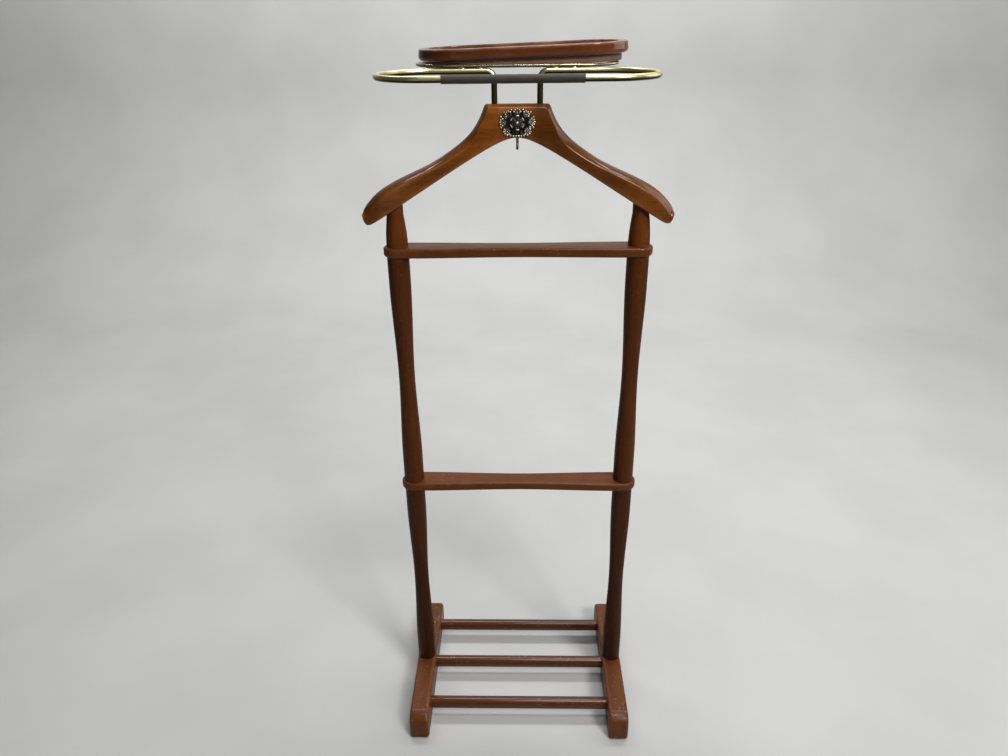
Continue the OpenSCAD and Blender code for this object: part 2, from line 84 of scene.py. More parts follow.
# %% Camera
FOCAL_PIXELS, PICTURE_WIDTH, SENSOR = 757.0, 1008.0, 36.0
CAMERA_PLACE = Vector((0.0028, -1.0714, 1.1597))
YAW, PITCH, ROLL = math.radians(1.328), math.radians(26.007), math.radians(-0.671)


def camera_matrix(place, yaw, pitch, roll):
    """A camera at a place, turned left by yaw, down by pitch and about its own axis by roll."""
    level = Vector((-math.sin(yaw), math.cos(yaw), 0))
    side = Vector((math.cos(yaw), math.sin(yaw), 0))
    ahead = level * math.cos(pitch) - Vector((0, 0, 1)) * math.sin(pitch)
    upward = level * math.sin(pitch) + Vector((0, 0, 1)) * math.cos(pitch)
    right = side * math.cos(roll) + upward * math.sin(roll)
    up = upward * math.cos(roll) - side * math.sin(roll)
    axes = Matrix((right, up, -ahead)).transposed().to_4x4()
    return Matrix.Translation(place) @ axes


def in_scene(name, data):
    """A new object in the scene."""
    made = bpy.data.objects.new(name, data)
    bpy.context.scene.collection.objects.link(made)
    return made


camera_data = bpy.data.cameras.new("camera")
camera_data.sensor_width = SENSOR
camera_data.lens = FOCAL_PIXELS / PICTURE_WIDTH * SENSOR
camera = in_scene("camera", camera_data)
camera.matrix_world = camera_matrix(CAMERA_PLACE, YAW, PITCH, ROLL)
bpy.context.scene.camera = camera
print("lens:", round(camera_data.lens, 2), "mm")

# %% [markdown]
# ## Helpers for shader nodes
# Materials in Blender are graphs of nodes. Wiring them by hand takes many lines,
# so small helpers do it: one plugs a value or another node's output into a
# socket, one feeds several sockets of a node by their names, one adds a node
# with its settings, and two make a colour from two others.

# %% Node helpers
MIX_SHARE, MIX_FIRST, MIX_SECOND, MIX_RESULT = 0, 6, 7, 2


def plug(tree, source, socket):
    """Link an output to a socket, or set the socket's own value."""
    if isinstance(source, bpy.types.NodeSocket):
        tree.links.new(source, socket)
    else:
        socket.default_value = source


def feed(tree, node, sockets):
    """Plug what each named socket of a node gets."""
    for name, source in sockets.items():
        plug(tree, source, node.inputs[name])


def add(tree, kind, sockets=None, **settings):
    """A new node with its settings and with what goes into its sockets."""
    made = tree.nodes.new("ShaderNode" + kind)
    for name, value in settings.items():
        setattr(made, name, value)
    feed(tree, made, sockets or {})
    return made


def mixed(tree, share, first, second, way="MIX"):
    """The mix of two colours."""
    made = add(tree, "Mix", data_type="RGBA", blend_type=way)
    for socket, source in ((MIX_SHARE, share), (MIX_FIRST, first), (MIX_SECOND, second)):
        plug(tree, source, made.inputs[socket])
    return made.outputs[MIX_RESULT]


def tinted(tree, colour, tint):
    """A colour multiplied by another one."""
    return mixed(tree, 1.0, colour, tint, "MULTIPLY")


print("colour helpers are ready")

# %% [markdown]
# Masks are numbers between 0 and 1 that change over a surface: here is dust,
# there is none. Most of a finish is sums with masks, so they get helpers too.
# Blender's noise is the source of most masks. A kind of noise is written as its
# scale, detail, roughness and distortion, and a span says between which values
# of the noise the mask goes from 0 to 1. The other sources are the direction in
# which a surface faces, and numbers that its mesh carries.


# %% Mask helpers
def sums(tree, way, first, second):
    """One number made from two by an arithmetic node."""
    made = add(tree, "Math", operation=way)
    plug(tree, first, made.inputs[0])
    plug(tree, second, made.inputs[1])
    return made.outputs[0]


def times(tree, first, second):
    """Two numbers multiplied."""
    return sums(tree, "MULTIPLY", first, second)


def raised(tree, value, mask, amount):
    """A value raised by an amount where a mask is 1, and by less where it is less."""
    return sums(tree, "ADD", value, times(tree, mask, amount))


def remap(tree, value, low, high, to_low=0.0, to_high=1.0):
    """A value brought smoothly from one range to another."""
    made = add(tree, "MapRange", interpolation_type="SMOOTHSTEP")
    for socket, source in enumerate((value, low, high, to_low, to_high)):
        plug(tree, source, made.inputs[socket])
    return made.outputs[0]


def noise(tree, place, scale, detail, roughness=0.5, distortion=0.0):
    """Cloudy noise. Scale is about how many clouds go into a metre."""
    return add(tree, "TexNoise", {
        "Vector": place, "Scale": scale, "Detail": detail, "Roughness": roughness,
        "Distortion": distortion}).outputs[0]


def cloudy(tree, place, kind, span, *to):
    """A mask from a kind of noise, 0 below the span and 1 above it, or as to says."""
    return remap(tree, noise(tree, place, *kind), *span, *to)


def one_of(tree, vector, axis):
    """The X, Y or Z of a vector."""
    return add(tree, "SeparateXYZ", {"Vector": vector}).outputs[axis]


def upward(tree):
    """Where the surface faces: 1 on a top, 0 on a side and -1 on an underside."""
    return one_of(tree, add(tree, "NewGeometry").outputs["Normal"], "Z")


def carried(tree, name):
    """A number that the mesh carries at each point."""
    return add(tree, "Attribute", attribute_name=name).outputs["Fac"]


print("mask helpers are ready")

# %% [markdown]
# What several finishes share, such as grain or wear, is a node group: a graph
# of its own with named sockets. It is made once and then placed in each material
# with that material's own values.


# %% Group helpers
def new_group(name, inputs, outputs):
    """A node group with named sockets. Inputs are (name, kind, value), outputs (name, kind)."""
    tree = bpy.data.node_groups.new(name, "ShaderNodeTree")
    for label, kind, value in inputs:
        made = tree.interface.new_socket(label, in_out="INPUT", socket_type="NodeSocket" + kind)
        if value is not None:
            made.default_value = value
    for label, kind in outputs:
        tree.interface.new_socket(label, in_out="OUTPUT", socket_type="NodeSocket" + kind)
    given = tree.nodes.new("NodeGroupInput").outputs
    return tree, given, tree.nodes.new("NodeGroupOutput")


def placed(tree, group, sockets):
    """A group placed in a material with its own values."""
    made = add(tree, "Group", node_tree=group)
    feed(tree, made, sockets)
    return made.outputs


print("group helpers are ready")

# %% [markdown]
# ## Wood grain under stain
# The wood is a close-grained one under a red-brown stain. From a distance it
# looks even, and close up there are soft streaks along the piece, fine fibres
# and short dark pores. Noise that is stretched along the grain gives all three.
# The group takes a place that has already been stretched, because the grain runs
# along X in a rail, along Y in a foot and along Z in a post.


# %% Group: grain
STREAK_NOISE, STREAK_SPAN = (3.0, 5.0, 0.55, 0.4), (0.33, 0.68)
FIBRE_NOISE, FIBRE_SPAN = (26.0, 3.0, 0.6), (0.3, 0.72)
PORE_NOISE, PORE_SPAN = (60.0, 1.0, 0.4), (0.62, 0.74)
STREAK_SHARE, FIBRE_SHARE, FIBRE_RELIEF = 0.65, 0.35, 0.3
PORE_TINT = (0.45, 0.4, 0.4, 1)


def make_grain():
    """Streaks, fibres and pores of stained wood."""
    tree, given, out = new_group(
        "stained grain",
        [("Place", "Vector", None), ("Light", "Color", None), ("Dark", "Color", None),
         ("Streaks", "Float", 0.6), ("Pores", "Float", 0.5)],
        [("Colour", "Color"), ("Height", "Float"), ("Streak", "Float")])
    place = given["Place"]
    band = cloudy(tree, place, STREAK_NOISE, STREAK_SPAN)
    fine = cloudy(tree, place, FIBRE_NOISE, FIBRE_SPAN)
    open_pore = times(tree, cloudy(tree, place, PORE_NOISE, PORE_SPAN), given["Pores"])
    share = raised(tree, times(tree, band, STREAK_SHARE), fine, FIBRE_SHARE)
    share = times(tree, share, given["Streaks"])
    stained = mixed(tree, share, given["Light"], given["Dark"])
    in_pore = tinted(tree, given["Dark"], PORE_TINT)
    feed(tree, out, {
        "Colour": mixed(tree, open_pore, stained, in_pore),
        "Height": raised(tree, times(tree, fine, FIBRE_RELIEF), open_pore, -1.0),
        "Streak": band})
    return tree


grain = make_grain()
print("grain group:", len(grain.nodes), "nodes")

# %% [markdown]
# ## Wear along edges
# Years of use have rubbed the stain off the edges, and here and there a chip
# shows bare wood. A shader can't tell where an edge is, so each mesh will carry a
# number for it, "edge", that is 1 on a tight outward bend and 0 on a flat. The
# group breaks that number up with noise, so that the wear comes and goes. How
# much of a piece is spared from knocks can be set, because feet get the most.


# %% Group: worn edges
PATCH_NOISE, PATCH_SPAN = (38.0, 4.0, 0.6), (0.3, 0.7)
CHIP_NOISE, CHIP_SPAN = (210.0, 2.0, 0.55), (0.64, 0.68)
REGION_NOISE = (21.0, 2.0)
LEAST_RUBBED, CHANCE_ON_FLATS, REGION_FADE = 0.25, 0.25, 0.15


def make_wear():
    """Where stain is rubbed thin, and where small chips show bare wood."""
    tree, given, out = new_group(
        "worn edges",
        [("Place", "Vector", None), ("Rubbing", "Float", 0.5), ("Chips", "Float", 0.3),
         ("Spared", "Float", 0.5)],
        [("Rubbed", "Float"), ("Chipped", "Float")])
    place, spared, edge = given["Place"], given["Spared"], carried(tree, "edge")
    patchy = cloudy(tree, place, PATCH_NOISE, PATCH_SPAN, LEAST_RUBBED, 1.0)
    region_span = (spared, sums(tree, "ADD", spared, REGION_FADE))
    knocked = cloudy(tree, place, REGION_NOISE, region_span)
    near = raised(tree, CHANCE_ON_FLATS, edge, 1 - CHANCE_ON_FLATS)
    speck = cloudy(tree, place, CHIP_NOISE, CHIP_SPAN)
    chipped = times(tree, times(tree, near, knocked), speck)
    feed(tree, out, {
        "Rubbed": times(tree, times(tree, edge, patchy), given["Rubbing"]),
        "Chipped": times(tree, chipped, given["Chips"])})
    return tree


wear = make_wear()
print("wear group:", len(wear.nodes), "nodes")

# %% [markdown]
# ## Dust
# A stand that has stood in a store room has a thin film of dust on whatever
# faces up. The mask is the upward part of the surface's direction, broken up by
# a little noise.


# %% Group: dust
DUST_NOISE, DUST_SPAN = (55.0, 5.0, 0.7), (0.2, 0.8)
LYING_FROM = 0.25


def make_dust():
    """A mask for dust on surfaces that face up."""
    tree, given, out = new_group(
        "dust film", [("Place", "Vector", None), ("Amount", "Float", 0.3)], [("Mask", "Float")])
    cloud = cloudy(tree, given["Place"], DUST_NOISE, DUST_SPAN)
    lying = times(tree, remap(tree, upward(tree), LYING_FROM, 1.0), cloud)
    feed(tree, out, {"Mask": times(tree, lying, given["Amount"])})
    return tree


dust = make_dust()
print("dust group:", len(dust.nodes), "nodes")

# %% [markdown]
# ## Tarnish and painted underside shade
# Old brass goes brown in clouds, and small dark specks sit where the lacquer has
# failed. Two sizes of noise make the clouds and the specks. The third mask is
# painted shade: from the direction in which the surface faces, it paints the
# undersides dark, as a painted reflection of a dark floor.


# %% Group: tarnish and painted underside shade
WIDE_NOISE, TIGHT_NOISE = (34.0, 5.0, 0.65), (420.0, 2.0)
CLOUD_SPAN, SPECK_SPAN, SPECKED_SPAN = (0.4, 0.68), (0.6, 0.68), (0.35, 0.6)
# Painted shade on the undersides: where it starts and where it is full.
UNDERSIDE_SHADE_SPAN = (0.05, -0.35)


def make_tarnish_and_shade():
    """Clouds and specks of tarnish on brass, and a mask of painted shade for its undersides."""
    tree, given, out = new_group(
        "tarnish_and_shade",
        [("Place", "Vector", None), ("Clouds", "Float", 0.5), ("Specks", "Float", 0.5)],
        [("Cloud", "Float"), ("Speck", "Float"), ("Painted underside shade", "Float")])
    wide = noise(tree, given["Place"], *WIDE_NOISE)
    spot = cloudy(tree, given["Place"], TIGHT_NOISE, SPECK_SPAN)
    speck = times(tree, spot, remap(tree, wide, *SPECKED_SPAN))
    # The last output paints shade on the undersides.
    feed(tree, out, {
        "Cloud": times(tree, remap(tree, wide, *CLOUD_SPAN), given["Clouds"]),
        "Speck": times(tree, speck, given["Specks"]),
        "Painted underside shade": remap(tree, upward(tree), *UNDERSIDE_SHADE_SPAN)})
    return tree


tarnish_and_shade = make_tarnish_and_shade()
print("tarnish group:", len(tarnish_and_shade.nodes), "nodes")

# %% [markdown]
# ## Varnished wood
# One recipe makes all the varnished woods, each with its own colours, grain
# direction and wear: the hanger is the most orange, the posts are the darkest,
# and the feet are the most worn. The varnish is the shader's coat, a thin
# glossy layer over a duller stained surface. Where the edge is rubbed the stain
# is paler, and a chip shows raw wood.
#
# A colour ramp along some pieces is multiplied into their colour. The hanger
# gets darker to the right of the cast flower and at its tips. On the posts the
# ramp is painted shade: they get darker towards the floor, and the upper posts
# stay lighter as a painted sheen. On the tray's rim it is painted shade that
# darkens its left end.


# %% Material helpers
LENGTHWISE, ACROSS = 1.6, 14.0
STRETCH = {"x": (LENGTHWISE, ACROSS, ACROSS), "y": (ACROSS, LENGTHWISE, ACROSS),
           "z": (ACROSS, ACROSS, LENGTHWISE)}
finishes = {}


def new_material(name):
    """An empty material with its surface shader, and the place on the piece."""
    made = bpy.data.materials.new(name)
    made.use_nodes = True
    tree = made.node_tree
    tree.nodes.clear()
    shader = add(tree, "BsdfPrincipled")
    add(tree, "OutputMaterial", {"Surface": shader.outputs[0]})
    finishes[name] = made
    return tree, shader, add(tree, "TexCoord").outputs["Object"]


def bumpy(tree, height, strength, depth):
    """The directions of a surface with a fine relief, whose depth is in metres."""
    return add(tree, "Bump", {
        "Height": height, "Strength": strength, "Distance": depth}).outputs[0]


def grained(tree, place, along, light, dark, streaks, pores):
    """The grain group, with the place stretched along the piece."""
    stretched = add(tree, "Mapping", {"Vector": place, "Scale": STRETCH[along]}).outputs[0]
    return placed(tree, grain, {
        "Place": stretched, "Light": light, "Dark": dark, "Streaks": streaks, "Pores": pores})


def darkening_ramp(tree, place, axis, stops):
    """How much of the colour is kept along a piece, over stops of (mm, share)."""
    low, high = stops[0][0], stops[-1][0]
    along = add(tree, "MapRange", {
        "Value": one_of(tree, place, axis.upper()), "From Min": low * MM,
        "From Max": high * MM}).outputs[0]
    made = add(tree, "ValToRGB", {"Fac": along})
    made.color_ramp.interpolation = "EASE"
    for at, _ in stops[1:-1]:
        made.color_ramp.elements.new((at - low) / (high - low))
    for stop, (_, share) in zip(made.color_ramp.elements, stops):
        stop.color = (share, share, share, 1)
    return made.outputs[0]


print("grain directions:", sorted(STRETCH))

# %% [markdown]
# Now the recipe itself. It takes the colours of the stain, light and dark, and
# the paler colour where it is rubbed. Chips, spared and rubbing set the wear,
# coat is the thickness of the varnish and coat_rough how dull it is.

# %% Materials: varnished wood
RAW_WOOD = (0.44, 0.27, 0.15, 1)
DUST_COLOUR = (0.36, 0.31, 0.26, 1)
STAIN_ROUGH, STREAK_ROUGH, DUST_DULLS, CHIP_DULLS = 0.45, 0.55, 0.3, 0.4
PORES, CHIP_DEPTH, GRAIN_DEPTH, STAIN_GLOSS = 0.4, 2.0, 0.0002, 0.05
HANGER_DARKENING = ((-220, 0.45), (-165, 0.65), (-70, 0.75), (-30, 1.0), (5, 0.85), (32, 0.36),
                 (55, 0.36), (110, 0.52), (180, 0.62), (220, 0.5))
# Painted shade: the posts get darker towards the floor, and the upper posts stay lighter as a
# painted sheen.
POST_PAINTED_SHADE = ((50, 0.3), (430, 0.42), (452, 0.58), (700, 0.6), (836, 0.62), (860, 0.95),
               (930, 1.0))
# Painted shade: the tray's rim gets darker towards its left end.
TRAY_PAINTED_SHADE = ((-130, 0.5), (-90, 0.62), (0, 0.85), (145, 1.0))


def varnished(name, along, light, dark, rubbed, chips, coat, coat_rough, streaks=0.8,
              rubbing=0.6, spared=0.46, dusty=0.0, relief=0.25, darkening=None):
    """Stained and varnished wood with worn edges."""
    tree, shader, place = new_material(name)
    wood = grained(tree, place, along, light, dark, streaks, PORES)
    worn = placed(tree, wear, {
        "Place": place, "Rubbing": rubbing, "Chips": chips, "Spared": spared})
    film = placed(tree, dust, {"Place": place, "Amount": dusty})["Mask"]
    colour = mixed(tree, worn["Rubbed"], wood["Colour"], rubbed)
    # A darkening ramp along the piece: painted shade on the posts and the tray's rim.
    if darkening:
        colour = tinted(tree, colour, darkening_ramp(tree, place, along, darkening))
    colour = mixed(tree, worn["Chipped"], colour, RAW_WOOD)
    rough = remap(tree, wood["Streak"], 0.0, 1.0, STAIN_ROUGH, STREAK_ROUGH)
    rough = raised(tree, rough, film, DUST_DULLS)
    height = raised(tree, wood["Height"], worn["Chipped"], -CHIP_DEPTH)
    feed(tree, shader, {
        "Base Color": mixed(tree, film, colour, DUST_COLOUR),
        "Roughness": raised(tree, rough, worn["Chipped"], CHIP_DULLS),
        "Normal": bumpy(tree, height, relief, GRAIN_DEPTH),
        "Specular IOR Level": STAIN_GLOSS,
        "Coat Weight": coat, "Coat Roughness": coat_rough})


varnished("hanger_wood", "x", (0.22, 0.064, 0.0055, 1), (0.085, 0.019, 0.0012, 1),
          rubbed=(0.4, 0.17, 0.055, 1), chips=0.1, coat=0.5, coat_rough=0.12, streaks=0.85,
          dusty=0.02, relief=0.08, darkening=HANGER_DARKENING)
varnished("post_wood", "z", (0.11, 0.029, 0.004, 1), (0.06, 0.0135, 0.0018, 1),
          rubbed=(0.2, 0.075, 0.03, 1), chips=0.2, coat=0.1, coat_rough=0.26,
          darkening=POST_PAINTED_SHADE)
varnished("rail_wood", "x", (0.086, 0.022, 0.0026, 1), (0.043, 0.01, 0.001, 1),
          rubbed=(0.17, 0.06, 0.02, 1), chips=0.22, coat=0.26, coat_rough=0.18)
varnished("foot_wood", "y", (0.098, 0.0275, 0.0045, 1), (0.052, 0.013, 0.002, 1),
          rubbed=(0.24, 0.1, 0.045, 1), chips=1.0, coat=0.34, coat_rough=0.3, rubbing=0.7,
          spared=0.34)
varnished("dowel_wood", "x", (0.068, 0.0185, 0.0042, 1), (0.036, 0.009, 0.002, 1),
          rubbed=(0.22, 0.1, 0.055, 1), chips=0.9, coat=0.6, coat_rough=0.15, streaks=0.6,
          rubbing=0.3, spared=0.42)
varnished("tray_wood", "x", (0.1, 0.024, 0.0034, 1), (0.046, 0.0095, 0.0012, 1),
          rubbed=(0.34, 0.17, 0.11, 1), chips=0.12, coat=0.6, coat_rough=0.12, dusty=0.02,
          relief=0.15, darkening=TRAY_PAINTED_SHADE)
print("varnished woods:", sorted(finishes))

# %% [markdown]
# ## The tray's floor board
# The board under the tray's rim never had varnish. Its thin stain has gone a
# dull grey mauve, so the recipe leaves the coat out and keeps it rough. Both its
# ends get painted shade, the right end the most.


# %% Material: matt board
BOARD_LIGHT, BOARD_DARK = (0.25, 0.112, 0.073, 1), (0.138, 0.06, 0.038, 1)
BOARD_RUBBED = (0.3, 0.18, 0.13, 1)
# Painted shade towards both ends of the board.
BOARD_PAINTED_SHADE = ((-130, 0.6), (-60, 1.0), (60, 0.9), (150, 0.42))
BOARD_ROUGH, BOARD_STREAK_ROUGH, BOARD_GRAIN_DEPTH = 0.6, 0.75, 0.0003


def matt_board():
    """Thin stain on a bare board, without varnish, and painted shade at its ends."""
    tree, shader, place = new_material("tray_floor_wood")
    wood = grained(tree, place, "x", BOARD_LIGHT, BOARD_DARK, streaks=0.9, pores=0.7)
    worn = placed(tree, wear, {"Place": place, "Rubbing": 0.3, "Chips": 0.2})
    colour = mixed(tree, worn["Rubbed"], wood["Colour"], BOARD_RUBBED)
    # Painted shade: the board gets darker towards both its ends.
    colour = tinted(tree, colour, darkening_ramp(tree, place, "x", BOARD_PAINTED_SHADE))
    feed(tree, shader, {
        "Base Color": mixed(tree, worn["Chipped"], colour, RAW_WOOD),
        "Roughness": remap(tree, wood["Streak"], 0.0, 1.0, BOARD_ROUGH, BOARD_STREAK_ROUGH),
        "Normal": bumpy(tree, wood["Height"], 0.4, BOARD_GRAIN_DEPTH)})


matt_board()
print("matt board is ready")

# %% [markdown]
# ## Brass
# The rod, the ring and the hook are brass of different ages. Metals take their
# colour in the reflection, so Metallic is 1 and the tarnish darkens the colour
# and dulls the gloss. Only that makes it look old: a bump would look like dents.
# Their undersides get a near black colour, which is painted shade, a painted
# reflection of a dark floor.
# Nobody polishes the two uprights between the loop and the hanger, so below a
# given height the brass is nearly brown.


# %% Materials: brass
UPRIGHT_BROWN = (0.045, 0.038, 0.016, 1)
SPECK_BROWN = (0.03, 0.025, 0.018, 1)
CLOUD_DULLS, SPECK_DULLS, BROWN_DULLS = 0.22, 0.35, 0.12
IN_REACH, REACH_FADE = 1.076, 0.006


def brass(name, bright, brown, underside_shade, clouds, specks, rough, in_reach=0.0):
    """Brass with clouds and specks of tarnish, painted shade on its underside, and brown below
    in_reach.
    """
    tree, shader, place = new_material(name)
    age = placed(tree, tarnish_and_shade, {"Place": place, "Clouds": clouds, "Specks": specks})
    height = one_of(tree, place, "Z")
    unpolished = remap(tree, height, in_reach, in_reach + REACH_FADE, 1.0, 0.0)
    colour = mixed(tree, age["Cloud"], bright, brown)
    # Painted shade: the undersides get the near black third colour.
    colour = mixed(tree, age["Painted underside shade"], colour, underside_shade)
    colour = mixed(tree, unpolished, colour, UPRIGHT_BROWN)
    rough = raised(tree, rough, age["Cloud"], CLOUD_DULLS)
    rough = raised(tree, rough, age["Speck"], SPECK_DULLS)
    feed(tree, shader, {
        "Base Color": mixed(tree, age["Speck"], colour, SPECK_BROWN),
        "Roughness": raised(tree, rough, unpolished, BROWN_DULLS),
        "Metallic": 1.0})


# The third colour of each brass is the painted shade on its underside.
brass("bar_brass", (0.65, 0.58, 0.32, 1), (0.44, 0.38, 0.19, 1), (0.022, 0.018, 0.007, 1),
      clouds=0.35, specks=0.3, rough=0.3, in_reach=IN_REACH)
brass("ring_brass", (0.5, 0.46, 0.3, 1), (0.14, 0.12, 0.065, 1), (0.07, 0.06, 0.03, 1),
      clouds=0.9, specks=1.0, rough=0.24)
brass("hook_brass", (0.42, 0.35, 0.22, 1), (0.14, 0.11, 0.06, 1), (0.05, 0.04, 0.02, 1),
      clouds=0.8, specks=0.4, rough=0.25)
print("brass:", [name for name in finishes if "brass" in name])

# %% [markdown]
# ## Cast flower, screws and sleeve
# The flower on the hanger is a casting that was blackened and then wiped, so its
# high spots are bright and the hollows stay dark. Its mesh carries a number,
# "proud", that is highest on top of each petal and 0 at its foot. The screws are
# plain zinc, and the sleeve is a dull soft plastic with the marks of handling.

# %% Materials: casting, steel, sleeve
CAST_BLACK, CAST_BRIGHT = (0.03, 0.025, 0.018, 1), (0.7, 0.62, 0.48, 1)
CAST_SPECK = (0.02, 0.016, 0.012, 1)
ZINC, DULL_ZINC = (0.5, 0.51, 0.53, 1), (0.3, 0.3, 0.31, 1)
SLEEVE_DARK, SLEEVE_PALE = (0.024, 0.0195, 0.014, 1), (0.036, 0.03, 0.023, 1)
BRIGHT_SPAN, WIPED_SPAN = (0.5, 0.85), (0.4, 0.95)
CAST_ROUGH, CAST_METAL = (0.4, 0.28), (1.0, 0.6)
ZINC_ROUGH, SLEEVE_ROUGH, SLEEVE_GLOSS = (0.3, 0.5), (0.55, 0.7), 0.25
BLOTCH_NOISE, BLOTCH_SPAN = (60.0, 5.0, 0.65), (0.3, 0.7)
MARK_NOISE, MARK_DEPTH = (900.0, 2.0), 0.0001


def wiped_casting():
    """Dark metal with bright high spots."""
    tree, shader, place = new_material("rosette_cast")
    age = placed(tree, tarnish_and_shade, {"Place": place, "Clouds": 0.5, "Specks": 0.6})
    wiped = raised(tree, carried(tree, "proud"), age["Cloud"], -0.4)
    bright = remap(tree, wiped, *BRIGHT_SPAN)
    colour = mixed(tree, bright, CAST_BLACK, CAST_BRIGHT)
    feed(tree, shader, {
        "Base Color": mixed(tree, age["Speck"], colour, CAST_SPECK),
        "Roughness": remap(tree, wiped, *WIPED_SPAN, *CAST_ROUGH),
        "Metallic": remap(tree, bright, 0.0, 1.0, *CAST_METAL)})


def zinc_steel():
    """Plain zinc on a screw, a little cloudy."""
    tree, shader, place = new_material("screw_steel")
    age = placed(tree, tarnish_and_shade, {"Place": place, "Clouds": 0.6, "Specks": 0.3})
    feed(tree, shader, {
        "Base Color": mixed(tree, age["Cloud"], ZINC, DULL_ZINC),
        "Roughness": remap(tree, age["Cloud"], 0.0, 1.0, *ZINC_ROUGH),
        "Metallic": 1.0})


def dull_sleeve():
    """Soft plastic, grey-brown, with handling marks."""
    tree, shader, place = new_material("sleeve_rubber")
    blotch = noise(tree, place, *BLOTCH_NOISE)
    marks = noise(tree, place, *MARK_NOISE)
    film = placed(tree, dust, {"Place": place, "Amount": 0.12})["Mask"]
    colour = mixed(tree, remap(tree, blotch, *BLOTCH_SPAN), SLEEVE_DARK, SLEEVE_PALE)
    feed(tree, shader, {
        "Base Color": mixed(tree, film, colour, DUST_COLOUR),
        "Roughness": remap(tree, blotch, *BLOTCH_SPAN, *SLEEVE_ROUGH),
        "Normal": bumpy(tree, marks, 0.3, MARK_DEPTH),
        "Specular IOR Level": SLEEVE_GLOSS})


wiped_casting()
zinc_steel()
dull_sleeve()
print("finishes:", len(finishes))

# %% [markdown]
# ## Helpers for meshes
# A finished mesh becomes a piece with smooth shading, apart from its sharp
# corners. It also gets the "edge" number that the wear group looks for. How much
# the surface's direction turns along each mesh edge tells how tight the bend is
# there, and the tightest outward bend at a point counts.

# %% Mesh helpers: pieces
SHARP = math.radians(38)
BEND_NONE, BEND_FULL = 130.0, 420.0


def read(source, name, width, kind=float):
    """A mesh property of all its vertices or edges as an array."""
    values = np.empty(len(source) * width, kind)
    source.foreach_get(name, values)
    return values.reshape(-1, width)


def mark_edges(mesh):
    """Store how tightly the surface bends outward at each vertex, from 0 to 1."""
    places = read(mesh.vertices, "co", 3)
    facing = read(mesh.vertices, "normal", 3)
    pairs = read(mesh.edges, "vertices", 2, np.int32)
    step = places[pairs[:, 1]] - places[pairs[:, 0]]
    turn = facing[pairs[:, 1]] - facing[pairs[:, 0]]
    bend = (step * turn).sum(1) / np.maximum((step * step).sum(1), 1e-12)
    tightest = np.zeros(len(places))
    for end in (0, 1):
        np.maximum.at(tightest, pairs[:, end], bend)
    share = np.clip((tightest - BEND_NONE) / (BEND_FULL - BEND_NONE), 0, 1)
    made = mesh.attributes.new("edge", "FLOAT", "POINT")
    made.data.foreach_set("value", share.astype(np.float32))


def as_piece(name, bm):
    """An object from a bmesh in millimetres, smooth except at sharp corners."""
    bmesh.ops.scale(bm, vec=(MM, MM, MM), verts=bm.verts)
    bmesh.ops.recalc_face_normals(bm, faces=bm.faces)
    mesh = bpy.data.meshes.new(name)
    bm.to_mesh(mesh)
    bm.free()
    mesh.shade_smooth()
    mesh.set_sharp_from_angle(angle=SHARP)
    mark_edges(mesh)
    return in_scene(name, mesh)


def dress(piece, finish, body, *nodes):
    """Give a piece its finish and its body, and hide the solids that it stands for."""
    piece.data.materials.append(finishes[finish])
    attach(piece, body)
    if nodes:
        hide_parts(*nodes)
    return piece


print("piece helpers are ready")

# %% [markdown]
# Most pieces are a skin over rings of points: the outline of a foot from one side
# to the other, or the section of the hanger from tip to tip. Turned pieces have
# round rings, so only their radius at each height has to be given. They are
# made upright, and some are then laid along X.


# %% Mesh helpers: skins and turned pieces
def add_skin(bm, rings, capped=True, joined=False):
    """Faces over rings that all have as many points. Joined closes the last ring to the first."""
    rows = [[bm.verts.new(point) for point in ring] for ring in rings]
    count = len(rows[0])
    for i in range(len(rows) if joined else len(rows) - 1):
        here, there = rows[i], rows[(i + 1) % len(rows)]
        for j in range(count):
            k = (j + 1) % count
            bm.faces.new((here[j], here[k], there[k], there[j]))
    if capped:
        bm.faces.new(rows[0][::-1])
        bm.faces.new(rows[-1])
    return rows


def skin(name, rings, tube=False):
    """A piece that is one skin over rings. In a tube, the last ring joins the first."""
    bm = bmesh.new()
    add_skin(bm, rings, capped=not tube, joined=tube)
    return as_piece(name, bm)


def turned(name, profile, place, segments=72, lying=False, tube=False):
    """A piece turned over a profile of (radius, height), upright or lying along X."""
    angles = [2 * math.pi * i / segments for i in range(segments)]
    rings = [[(r * math.cos(a), r * math.sin(a), z) for a in angles] for r, z in profile]
    bm = bmesh.new()
    add_skin(bm, rings, capped=not tube, joined=tube)
    if lying:
        bmesh.ops.transform(bm, matrix=Matrix.Rotation(math.pi / 2, 4, "Y"), verts=bm.verts)
    bmesh.ops.translate(bm, vec=place, verts=bm.verts)
    return as_piece(name, bm)


print("skin helpers are ready")

# %% [markdown]
# ## Outlines
# Two outlines come back in several pieces. A rounded edge is a list of steps:
# how far the outline draws in, and at what height. A rounded box is four corner
# arcs one after the other, and drawing it in by d only makes the arcs smaller.


# %% Outline helpers
def edge_steps(thickness, radius, steps=7):
    """How far in and how high each ring of a rounded edge lies, from the bottom up."""
    turns = [math.pi / 2 * i / steps for i in range(steps + 1)]
    low = [(radius * (1 - math.sin(t)), radius * (1 - math.cos(t)) - thickness / 2) for t in turns]
    return low + [(inward, -height) for inward, height in reversed(low)]


def arc(cx, cy, radius, start, turn=90, steps=20):
    """Points of an arc that starts at an angle and turns left, in degrees."""
    angles = [math.radians(start + turn * i / steps) for i in range(steps + 1)]
    return [(cx + radius * math.cos(a), cy + radius * math.sin(a)) for a in angles]


